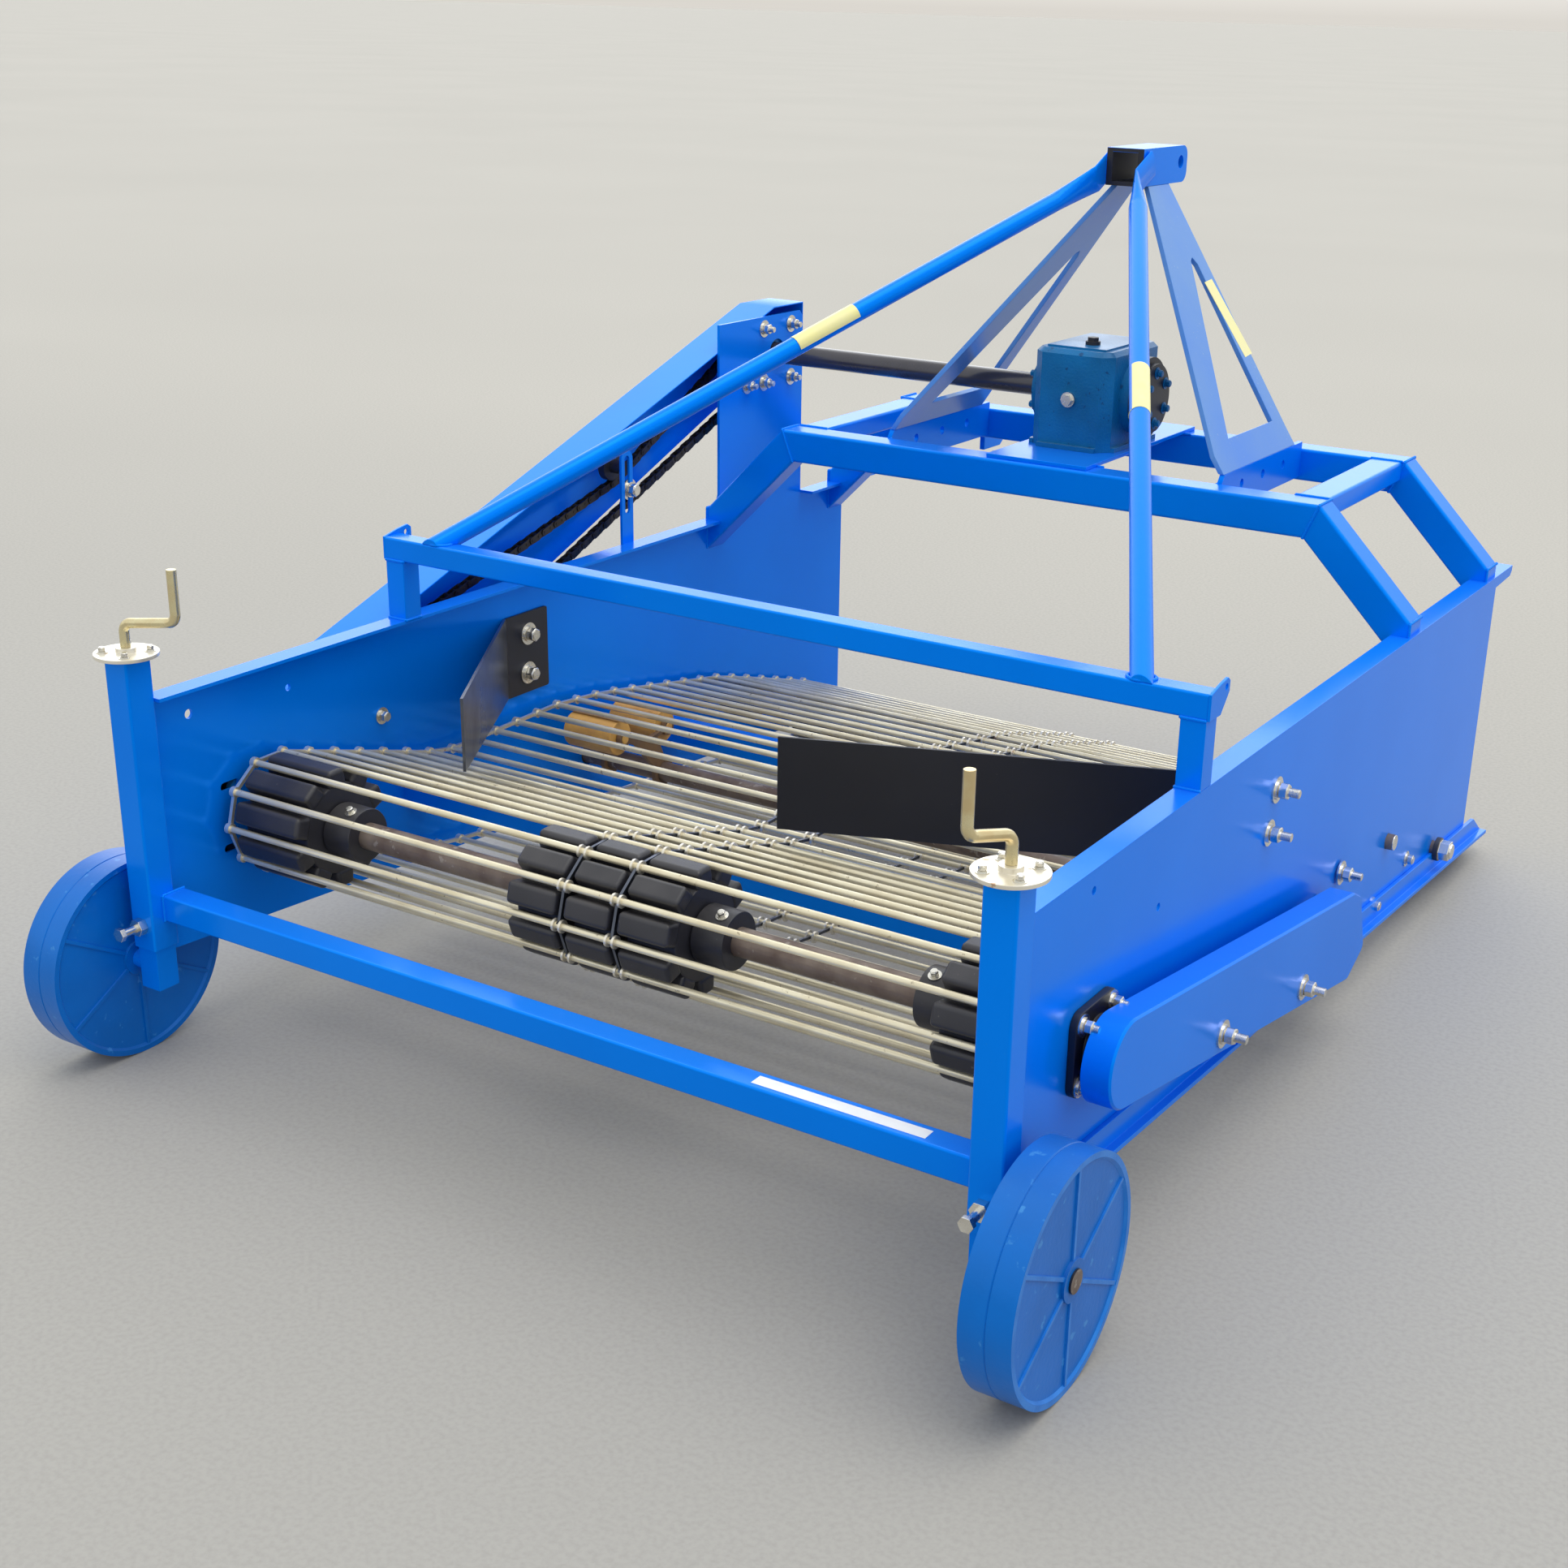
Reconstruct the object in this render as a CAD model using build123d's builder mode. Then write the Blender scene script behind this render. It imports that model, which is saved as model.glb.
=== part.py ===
"""Two-row potato digger with a rod-web elevator, mounted on a tractor's three-point hitch.

Millimetres. +X is the machine's right, +Y its direction of travel, +Z up from the floor.
Sub-parts are drawn from a point on the floor midway between the two depth wheels, and keep()
moves each one so that the origin lies under the middle of the machine's length.
Points in a side view are (y, z); points in a view from behind are (x, z).
"""

from build123d import *
from math import atan2, cos, degrees, hypot, pi, radians, sin, sqrt
import os

os.makedirs("parts", exist_ok=True)

SIDES = ((-1, "left"), (1, "right"))

# ---------------------------------------------------------------- driving dimensions
# Side plates
HALF_WIDTH = 780.0          # to the outer face of each side plate
PLATE_T = 6.0
PLATE_FRONT_Y = 2110.0
PLATE_TOP_Z = 626.0
BOTTOM_REAR_Z = 187.0       # lower edge of a side plate under the wheel axles
BOTTOM_SLOPE = -0.0667      # the lower edge falls towards the share
LIP_W = 40.0                # lip folded inwards along the top edge
HORN_FRONT_Y = 2222.0       # the lip runs on past the plate as a horn
HORN_H = 24.0
HORN_LIFT = 4.0              # rise of its lower edge towards the tip
HORN_NOSE = 10.0             # chamfer of the tip
RUNNER_H = 45.0
RUNNER_T = 8.0
RUNNER_FLANGE = 22.0        # foot of the runner's angle iron, outwards along its lower edge
RUNNER_REAR_Y = 60.0
RUNNER_FRONT_Y = 2222.0
RUNNER_NOSE = 62.0
LEFT_HOLES = (              # y, z, radius, length of the slot (0 for a round hole)
    (109.0, 573.0, 8.0, 0.0),
    (326.0, 562.0, 6.0, 0.0),
    (181.0, 429.0, 7.0, 40.0),
    (178.0, 319.0, 7.0, 40.0),
)
RIGHT_HOLES = (
    (237.0, 595.0, 6.0, 0.0),
    (462.0, 491.0, 6.0, 0.0),
)

# Chain tower on the left plate, from the cross shaft's centre
TOWER_BACK = 221.0
TOWER_AHEAD = 102.0
TOWER_RISE = 83.0
TOWER_FOOT = 45.0           # flare where the tower grows out of the plate
TOWER_CORNER = 12.0         # chamfers
TOWER_LAP = 20.0            # sunk into the plate

# Rear legs and depth wheels
LEG_TUBE = 50.0
LEG_WALL = 4.0
LEG_INSET = 24.0            # how far a leg tube reaches inside its side plate
LEG_TOP_Z = 698.0
LEG_BOTTOM_Z = 205.0
INNER_LEG = 41.0
INNER_LEG_TOP_Z = 620.0
INNER_LEG_BOTTOM_Z = 132.0
WHEEL_R = 170.0
WHEEL_W = 75.0
WHEEL_OFFSET = 77.5         # from a side plate's outer face to the middle of a wheel
WHEEL_RIM = 9.0
WHEEL_DISH = 4.0            # the disc lies this far inside the rim's edges
WHEEL_RIBS = 6
RIB_W = 6.0
RIB_H = 3.0
TREAD_GROOVE = 1.5
CRANK_R = 8.0
CRANK_RISE = (38.0, 14.0, 84.0)   # of its foot, its arm and its handle
FLANGE_T = 6.0
FLANGE_BOSS_H = 8.0
CRANKS = (                  # side, name, direction of the arm in degrees, reach of the handle
    (-1, "left", 8.0, 104.0),
    (1, "right", 250.0, 74.0),
)
FLANGE_R = 50.0
SET_SCREW_RISE = 42.0       # above a leg's lower end
SET_SCREW = (                   # outward from the leg tube: length, radius, sides
    (14.0, 15.0, 6),
    (26.0, 7.0, 0),
    (9.0, 12.0, 6),
)
HUB_R = 30.0
HUB_W = 77.0
AXLE_CAP_R = 17.0           # black ring round the axle's end
AXLE_CAP_T = 3.0
AXLE_SHOULDER = 4.0         # how much thicker the axle is on the leg's side of the hub
AXLE_R = 12.5
AXLE_FIT = 0.06             # radial running clearance in the wheel's bore

# Cross members
REAR_TUBE = 45.0
REAR_TUBE_Z = 252.0
ARCH_TUBE = 40.0
ARCH_Y = 584.0
ARCH_Z = 733.0
EAR_PLATE_T = 5.0           # small plate on each end of the arch
ARCH_EAR = ((28.0, -10.0), (28.0, 6.0), (20.0, 12.0), (-6.0, 8.0))   # from the tube's upper corner
ARCH_EAR_HOLE = (15.0, -1.0, 5.0)
TUBE_WALL = 3.0
TUBE_CORNER = 4.0
UNDER_TUBE = 60.0
UNDER_TUBES = ((590.0, 262.0), (1360.0, 172.0))   # y, z of each tube's lower rear edge

# Headstock
BEAM = 65.0
BEAM_Z = 777.0
BEAM_REAR_Y = 1558.0
BEAM_FRONT_Y = 2049.0
BEAM_CORNER_X = 583.0       # outer top corner, where a beam turns down at 45 degrees
SPACER_W = 65.0
SPACER_H = 40.0
SPACER_INSET = 5.0          # from a beam's outer corner to the spacer
BRACKET_X = 362.0
BRACKET_T = 10.0
BRACKET_TOP_Z = 857.0
BRACKET_BOTTOM_Z = 785.0
BRACKET_HOLE_R = 9.0
BRACKET_HOLE_PITCH = 110.0
BRACKET_HOLE_DROP = 31.0    # below the bracket's top edge
BRACKET_SLOPE = 12.0        # lean of the rear edge
EAR_DROP = 42.0             # lower hitch ear, below the beam
EAR_TOP_DROP = 6.0          # and below its top
EAR_NOSE = ((6.0, 40.0), (34.0, 20.0))   # ahead of the pin, above and below it

# Mast and hitch, category 2
MAST_FOOT_Y = (1632.0, 2008.0)
MAST_HEAD_Y = (1938.0, 2030.0)
MAST_T = 10.0
MAST_LAP = 20.0             # beyond both ends before they are cut level
MAST_FOOT_RISE = 40.0       # straight part of the foot
SLOT_BOTTOM = 62.0          # slot in each mast plate, up from its foot
SLOT_TOP = 161.0            # and down from the head
SLOT_REAR = 95.0            # foot of the slot, from the foot's rear edge
SLOT_FRONT = 50.0           # and from its front edge
SLOT_HEAD = ((32.0, 16.0), (42.0, 0.0), (55.0, 6.0))   # head: back from the front edge, down
HEAD_W = 80.0
HEAD_GAP = 54.0
HEAD_REAR_Y = 1895.0
HEAD_FRONT_Y = 2112.0
HEAD_BOTTOM_Z = 1345.0
HEAD_H = 72.0
HEAD_WALL = 8.0
HEAD_NOSE_R = 22.0
CLEVIS_DEPTH = 70.0         # length of the head that is open below for the top link
TOP_PIN_R = 12.8
TOP_PIN_Y = 2080.0
TOP_PIN_Z = 1385.0
LOWER_PIN_R = 14.3
LOWER_PIN_SHOULDER_X = 412.0
LOWER_PIN_LENGTH = 70.0
LOWER_PIN_Y = 2185.0
LOWER_PIN_Z = 775.0
EAR_T = 12.0
BRACE_R = 18.0
BRACE_FOOT_X = 668.0
BRACE_FLAT_W = 54.0         # the upper end is pressed flat against the mast head
BRACE_FLAT_T = 12.0
BRACE_FLAT_LENGTH = 74.0
BRACE_TAPER = 110.0
BRACE_HEAD = (36.0, 8.0)    # its upper end, ahead of the mast head's rear and above its middle

# Gearbox and PTO
GEARBOX_W = 172.0
GEARBOX_PLATE_OVER = 46.0   # wider than the gearbox
GEARBOX_PLATE_SHORT = 24.0  # shorter than the span over both beams
GEARBOX_LENGTH = 244.0
GEARBOX_TOP_Z = 1045.0
GEARBOX_CORNER = 22.0       # cast chamfer down each corner
GEARBOX_EDGE = 9.0          # and round the top
SIDE_CAP_R = 74.0
SIDE_CAP_T = 22.0
COUPLING_R = 80.0
COUPLING_T = 12.0
INPUT_CAP_R = 58.0
COVER_PLATE_T = 4.0
FOOT_FLANGE = 9.0
PLUG_R = 15.0
FILLER_PLUG = (12.0, 70.0)  # x, and distance from the gearbox's rear face
MOUNT_PLATE_T = 8.0
DRIVE_Y = 1826.0            # cross shaft through gearbox and tower
DRIVE_Z = 949.0
CROSS_SHAFT_R = 22.5
PTO_R = 17.4
SPLINES = 6
SPLINE_GROOVE = (5.2, 9.4)
PTO_LENGTH = 118.0

# Web elevator
WEB_PITCH = 61.8
ROD_R = 6.0
WEB_SIDE_GAP = 22.0         # from a side plate to the ends of the rods
LINK_W = 9.0
LINK_H = 7.0
MIDDLE_LINK_X = 50.0        # the two lines of links either side of the middle sprocket
SPROCKET_TEETH = 10
LOBE_RISE = 4.0             # how far a rubber tooth stands out past the rods' middles
LOBE_CHAMFER = 6.0
LOBE_GAP = 6.0              # between a tooth and the rods beside it
LINK_GAP = 3.5              # between a sprocket and a line of links
OUTER_SPROCKET_W = 145.0
INNER_SPROCKET_W = 94.0
SPROCKET_GAP = 8.0
SPROCKET_HUB_R = 46.0
SPROCKET_HUB_W = 58.0
WEB_DRIVE_Y = 250.0
WEB_DRIVE_Z = 370.0
WEB_SHAFT_R = 22.5
WEB_SHAFT_STUB = 10.0       # beyond the lower sprocket
FRONT_ROLLER_R = 62.0
FRONT_ROLLER_Y = 1888.0     # nominal; taken up to close the web exactly
ROLLER_SEARCH = 16.0        # how far it may move to close the web
SEARCH_STEPS = 64
REFINEMENTS = 20
FRONT_ROLLER_Z = 113.0
FRONT_SHAFT_R = 15.0
ROLLER_R = 35.0
ROLLER_W = 80.0
ROLLER_END_GAP = 32.0       # from the ends of the rods to the outer rollers
SHAKER_ROLLER_W = 115.0
SHAKER_PIN_R = 10.0
ROCKER_T = 10.0
ROCKER_GAP = 2.0
ROCKER_H = 34.0
SHAKER_ROLLERS = ((1008.0, 316.0), (1152.0, 302.0))
SUPPORT_ROLLER = (1560.0, 232.0)
SHAKER_SHAFT = (1135.0, 212.0)
SHAKER_SHAFT_R = 20.0
RETURN_SAG = (900.0, 1655.0, 1500.0)  # circle that the return run hangs along
TOP_DIP = (715.0, 652.0, 300.0)       # circle that the top run dips under
COLLAR_R = 24.0             # on the front roller's shaft, outside each runner
COLLAR_T = 10.0
SHAFT_NUT_R = 21.0
SHAFT_NUT_T = 20.0
SHAFT_END = 4.0             # of the shaft shows past its nut
SEAT = 0.3                  # gap left between a rod or roller and what it lies on
CROSS_SHAFT_PLAY = 8.0      # gap round each shaft in its side plate
WEB_SHAFT_PLAY = 6.0
SHAKER_SHAFT_PLAY = 4.0

# Chain drives
CHAIN_W = 16.0
SPROCKET_INSET = 3.0        # inside the chain, on each face
CHAIN_H = 14.0
CHAIN_OFFSET = 44.0         # from the left plate to the middle of the chain
TOP_SPROCKET_R = 52.0
LOW_SPROCKET_R = 92.0
IDLER_R = 30.0
IDLER_ALONG = 564.7         # along the upper run, from the top sprocket
IDLER_PRESS = 82.8          # how far the idler presses that run down
IDLER_HUB_R = 14.0
IDLER_BRACKET_W = 38.0
IDLER_BRACKET_T = 6.0
IDLER_SLOT = (118.0, 15.0)
IDLER_SLOT_DROP = 11.0      # below the top of its bracket
IDLER_BRACKET_LAP = 70.0    # how far the bracket reaches down the side plate
IDLER_BRACKET_RISE = 36.0   # and up past the idler
COVER_OFFSET = 92.0         # from the left plate to the guard's outer face
COVER_T = 3.0
COVER_DEPTH = 165.0
COVER_RISE = 13.0           # above the tower plate
COVER_AHEAD = 8.0           # in front of the tower plate
COVER_UNDER = 40.0          # level underside behind the bend
COVER_ROOM = 22.0           # round the chain at the rear
COVER_SLOPE = 0.343
CASE_GAP = 26.0             # from the right plate to the chain case
CASE_DEPTH = 44.0
CASE_CORNERS = (            # y, z, radius of the corners that its outline is drawn round
    (240.0, 360.0, 65.0),
    (1158.0, 268.0, 16.0),
    (1190.0, 252.0, 16.0),
    (1228.0, 160.0, 16.0),
    (1170.0, 137.0, 20.0),
)
CASE_BOLTS = ((578.0, 263.0), (931.0, 199.0))
CASE_EDGE = 3.0
CASE_SPACER_R = 10.0

# Share
SHARE_REAR = (1978.0, 112.0)
SHARE_FRONT = (2266.0, 12.0)
SHARE_T = 10.0
SHARE_POINTS = 8
SHARE_POINT_DEPTH = 95.0
SHARE_BEAM_Y = 2030.0
SHARE_BEAM_D = 55.0
SHARE_BEAM_H = 40.0

# ------------------------------------------------------------------ derived dimensions
MIDDLE_Y = (SHARE_FRONT[0] - WHEEL_R) / 2
INNER_X = HALF_WIDTH - PLATE_T
TOWER_REAR_Y = DRIVE_Y - TOWER_BACK
TOWER_FRONT_Y = DRIVE_Y + TOWER_AHEAD
TOWER_TOP_Z = DRIVE_Z + TOWER_RISE
WHEEL_X = HALF_WIDTH + WHEEL_OFFSET
HEAD_TOP_Z = HEAD_BOTTOM_Z + HEAD_H
GEARBOX_REAR_Y = DRIVE_Y - GEARBOX_LENGTH / 2
GEARBOX_FRONT_Y = DRIVE_Y + GEARBOX_LENGTH / 2
WEB_HALF_W = INNER_X - WEB_SIDE_GAP
CHAIN_X = -HALF_WIDTH - CHAIN_OFFSET
COVER_OUTER_X = -HALF_WIDTH - COVER_OFFSET
CASE_BACK_X = HALF_WIDTH + CASE_GAP
LEG_X = HALF_WIDTH - PLATE_T + LEG_TUBE / 2 - LEG_INSET
LEG_HALF = LEG_TUBE / 2
BEAM_TOP_Z = BEAM_Z + BEAM
MITRE = BEAM * (sqrt(2) - 1)          # how far the inner corner of a 45 degree mitre sits back
WEB_R = WEB_PITCH / (2 * sin(pi / SPROCKET_TEETH))
GEARBOX_Z = BEAM_TOP_Z + MOUNT_PLATE_T


def keep(made, name):
    """Move a finished sub-part into the machine's own frame, label it and write it."""
    made.part = made.part.translate((0, -MIDDLE_Y, 0))
    made.part.label = name
    export_step(made.part, f"parts/{name}.step")


def edge_z(y):
    """Height of the side plates' sloping lower edge."""
    return BOTTOM_REAR_Z + BOTTOM_SLOPE * y


def side_plane(x):
    """A plane whose local axes are Y and Z, at a distance x."""
    return Plane.YZ.offset(x)


def low_x(side, near, far):
    """Lower x of a slab that lies between two distances from the middle, on one side."""
    return near if side > 0 else -far


# ------------------------------------------------------------------ loops round wheels
class Loop:
    """A closed belt line in the side view, run round circles given as (y, z, r, turn).

    turn is +1 for a circle inside the belt and -1 for one that presses on it from outside;
    the belt goes round the inner circles against the clock.
    """

    def __init__(self, circles):
        self.pieces = []
        count = len(circles)
        tangents = [self.tangent(circles[i], circles[(i + 1) % count]) for i in range(count)]
        for i in range(count):
            y, z, r, turn = circles[i]
            arrive = tangents[i - 1][1]
            leave = tangents[i][0]
            a0 = atan2(arrive[1] - z, arrive[0] - y)
            a1 = atan2(leave[1] - z, leave[0] - y)
            sweep = (a1 - a0) % (2 * pi) if turn > 0 else -((a0 - a1) % (2 * pi))
            self.pieces.append(("arc", (y, z), r, a0, sweep, abs(sweep) * r))
            start, end = tangents[i]
            self.pieces.append(("line", start, end, None, None, hypot(end[0] - start[0], end[1] - start[1])))
        self.length = sum(piece[5] for piece in self.pieces)

    @staticmethod
    def tangent(first, second):
        """Ends of the straight that leaves one circle and reaches the next."""
        y0, z0, r0, t0 = first
        y1, z1, r1, t1 = second
        dy, dz = y1 - y0, z1 - z0
        span = hypot(dy, dz)
        heading = atan2(dz, dy)
        lean = (t0 * r0 - t1 * r1) / span
        normal = heading - pi / 2 + atan2(lean, sqrt(1 - lean * lean))
        ny, nz = cos(normal), sin(normal)
        return (
            (y0 + t0 * r0 * ny, z0 + t0 * r0 * nz),
            (y1 + t1 * r1 * ny, z1 + t1 * r1 * nz),
        )

    def point(self, distance):
        """The point that lies a distance along the belt."""
        distance %= self.length
        for kind, a, b, start, sweep, length in self.pieces:
            if distance <= length:
                share = distance / length if length else 0
                if kind == "line":
                    return (a[0] + share * (b[0] - a[0]), a[1] + share * (b[1] - a[1]))
                angle = start + share * sweep
                return (a[0] + b * cos(angle), a[1] + b * sin(angle))
            distance -= length
        return self.point(0)

    def draw(self, grow):
        """Draw the line, moved outwards by grow, in the current BuildLine."""
        for kind, a, b, start, sweep, length in self.pieces:
            if kind == "line":
                ny = (b[1] - a[1]) / length * grow
                nz = -(b[0] - a[0]) / length * grow
                Line((a[0] + ny, a[1] + nz), (b[0] + ny, b[1] + nz))
            else:
                radius = b + (grow if sweep > 0 else -grow)
                CenterArc(a, radius, degrees(start), degrees(sweep))


def chord_steps(loop, pitch):
    """Places of the rods: equal straight steps round the loop, and the gap left at the end."""
    places, distance = [loop.point(0)], 0.0
    while True:
        y, z = places[-1]
        ahead = distance + pitch
        for _ in range(6):
            py, pz = loop.point(ahead)
            ahead += pitch - hypot(py - y, pz - z)
        if ahead > loop.length - pitch / 2:
            return places, (loop.length - ahead, ahead - distance)
        distance = ahead
        places.append(loop.point(distance))


def web_loop(front_y):
    """The rod web's line: drive sprockets, return run, front rollers, top run, its sag."""
    return Loop((
        (WEB_DRIVE_Y, WEB_DRIVE_Z, WEB_R, 1),
        (*RETURN_SAG, 1),
        (front_y, FRONT_ROLLER_Z, FRONT_ROLLER_R + ROD_R + SEAT, 1),
        (*SUPPORT_ROLLER, ROLLER_R + ROD_R + SEAT, 1),
        (*SHAKER_ROLLERS[1], ROLLER_R + ROD_R + SEAT, 1),
        (*SHAKER_ROLLERS[0], ROLLER_R + ROD_R + SEAT, 1),
        (*TOP_DIP, -1),
    ))


def closed_web():
    """Move the front roller until the web closes on a whole number of links."""
    def gap(y):
        loop = web_loop(y)
        places, (left, _) = chord_steps(loop, WEB_PITCH)
        return left, loop, places

    low, high = FRONT_ROLLER_Y - ROLLER_SEARCH, FRONT_ROLLER_Y + ROLLER_SEARCH
    best = None
    for step in range(SEARCH_STEPS + 1):
        y = low + (high - low) * step / SEARCH_STEPS
        left, loop, places = gap(y)
        if best is None or abs(left) < abs(best[0]):
            best = (left, y, loop, places)
    y = best[1]
    for _ in range(REFINEMENTS):
        left, loop, places = gap(y)
        y += left and -left / 2
        if abs(left) < 1e-4:
            break
    return y, loop, places


front_roller_y, _, rod_places = closed_web()
print("web links", len(rod_places))
print("front roller y", round(front_roller_y, 2), "web radius", round(WEB_R, 2))

# ------------------------------------------------------------------------ side plates
strut_outline = (
    (BEAM_CORNER_X, BEAM_TOP_Z),
    (INNER_X, BEAM_TOP_Z - (INNER_X - BEAM_CORNER_X)),
    (INNER_X, BEAM_Z - (INNER_X - BEAM_CORNER_X + MITRE)),
    (BEAM_CORNER_X - MITRE, BEAM_Z),
)
shaft_holes = (                        # y, z, radius
    (WEB_DRIVE_Y, WEB_DRIVE_Z, WEB_SHAFT_R + WEB_SHAFT_PLAY),
    (front_roller_y, FRONT_ROLLER_Z, FRONT_SHAFT_R + SEAT),
    (*SHAKER_SHAFT, SHAKER_SHAFT_R + SHAKER_SHAFT_PLAY),
    (*SUPPORT_ROLLER, FRONT_SHAFT_R + SEAT),
)
for side, name in SIDES:
    with BuildPart() as side_plate:
        with BuildSketch(side_plane(low_x(side, INNER_X, HALF_WIDTH))):
            with BuildLine():
                Polyline(
                    (LEG_HALF, PLATE_TOP_Z),
                    (LEG_HALF, edge_z(LEG_HALF)),
                    (PLATE_FRONT_Y, edge_z(PLATE_FRONT_Y)),
                    (PLATE_FRONT_Y, PLATE_TOP_Z - HORN_H),
                    (HORN_FRONT_Y - HORN_NOSE, PLATE_TOP_Z - HORN_H + HORN_LIFT),
                    (HORN_FRONT_Y, PLATE_TOP_Z - HORN_H + HORN_LIFT + HORN_NOSE),
                    (HORN_FRONT_Y, PLATE_TOP_Z),
                    close=True,
                )
            make_face()
            if side < 0:
                with BuildLine():
                    Polyline(
                        (TOWER_REAR_Y - TOWER_FOOT, PLATE_TOP_Z - TOWER_LAP),
                        (TOWER_REAR_Y - TOWER_FOOT, PLATE_TOP_Z),
                        (TOWER_REAR_Y - TOWER_CORNER, PLATE_TOP_Z + TOWER_CORNER),
                        (TOWER_REAR_Y, PLATE_TOP_Z + TOWER_FOOT),
                        (TOWER_REAR_Y, TOWER_TOP_Z),
                        (TOWER_FRONT_Y - TOWER_CORNER, TOWER_TOP_Z),
                        (TOWER_FRONT_Y, TOWER_TOP_Z - TOWER_CORNER),
                        (TOWER_FRONT_Y, PLATE_TOP_Z - TOWER_LAP),
                        close=True,
                    )
                make_face()
                with Locations((DRIVE_Y, DRIVE_Z)):
                    Circle(CROSS_SHAFT_R + CROSS_SHAFT_PLAY, mode=Mode.SUBTRACT)
            for y, z, radius in shaft_holes:
                with Locations((y, z)):
                    Circle(radius, mode=Mode.SUBTRACT)
            for y, z, radius, length in (LEFT_HOLES if side < 0 else RIGHT_HOLES):
                with Locations((y, z)):
                    if length:
                        SlotOverall(length, 2 * radius, mode=Mode.SUBTRACT)
                    else:
                        Circle(radius, mode=Mode.SUBTRACT)
        extrude(amount=PLATE_T)
        lip_spans = ((LEG_HALF, HORN_FRONT_Y),) if side > 0 else (
            (LEG_HALF, TOWER_REAR_Y - TOWER_FOOT), (TOWER_FRONT_Y, HORN_FRONT_Y))
        for rear, front in lip_spans:
            with BuildSketch(Plane.XY.offset(PLATE_TOP_Z - PLATE_T)):
                with Locations((side * (HALF_WIDTH - LIP_W / 2), (rear + front) / 2)):
                    Rectangle(LIP_W, front - rear)
            extrude(amount=PLATE_T)
        # the lip is notched where the headstock struts pass it
        for beam_y in (BEAM_REAR_Y, BEAM_FRONT_Y):
            with BuildSketch(Plane.XZ.offset(-beam_y)):
                with BuildLine():
                    Polyline(*[(side * x, z) for x, z in strut_outline], close=True)
                make_face()
            extrude(amount=-BEAM, mode=Mode.SUBTRACT)
    keep(side_plate, f"side_plate_{name}")

    # angle iron: a leg on the plate, with a nose cut at its front, and a foot outwards
    runner_legs = (                    # outer x, height at the back, height at the tip
        (HALF_WIDTH + RUNNER_T, RUNNER_H, RUNNER_T),
        (HALF_WIDTH + RUNNER_FLANGE, RUNNER_T, RUNNER_T),
    )
    with BuildPart() as runner:
        for outer_x, height, tip_height in runner_legs:
            with BuildSketch(side_plane(low_x(side, HALF_WIDTH, outer_x))):
                with BuildLine():
                    Polyline(
                        (RUNNER_REAR_Y, edge_z(RUNNER_REAR_Y)),
                        (RUNNER_REAR_Y, edge_z(RUNNER_REAR_Y) + height),
                        (RUNNER_FRONT_Y - RUNNER_NOSE, edge_z(RUNNER_FRONT_Y - RUNNER_NOSE) + height),
                        (RUNNER_FRONT_Y, edge_z(RUNNER_FRONT_Y) + tip_height),
                        (RUNNER_FRONT_Y, edge_z(RUNNER_FRONT_Y)),
                        close=True,
                    )
                make_face()
                with Locations((front_roller_y, FRONT_ROLLER_Z)):
                    Circle(FRONT_SHAFT_R + SEAT, mode=Mode.SUBTRACT)
            extrude(amount=outer_x - HALF_WIDTH)
    keep(runner, f"runner_{name}")

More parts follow.
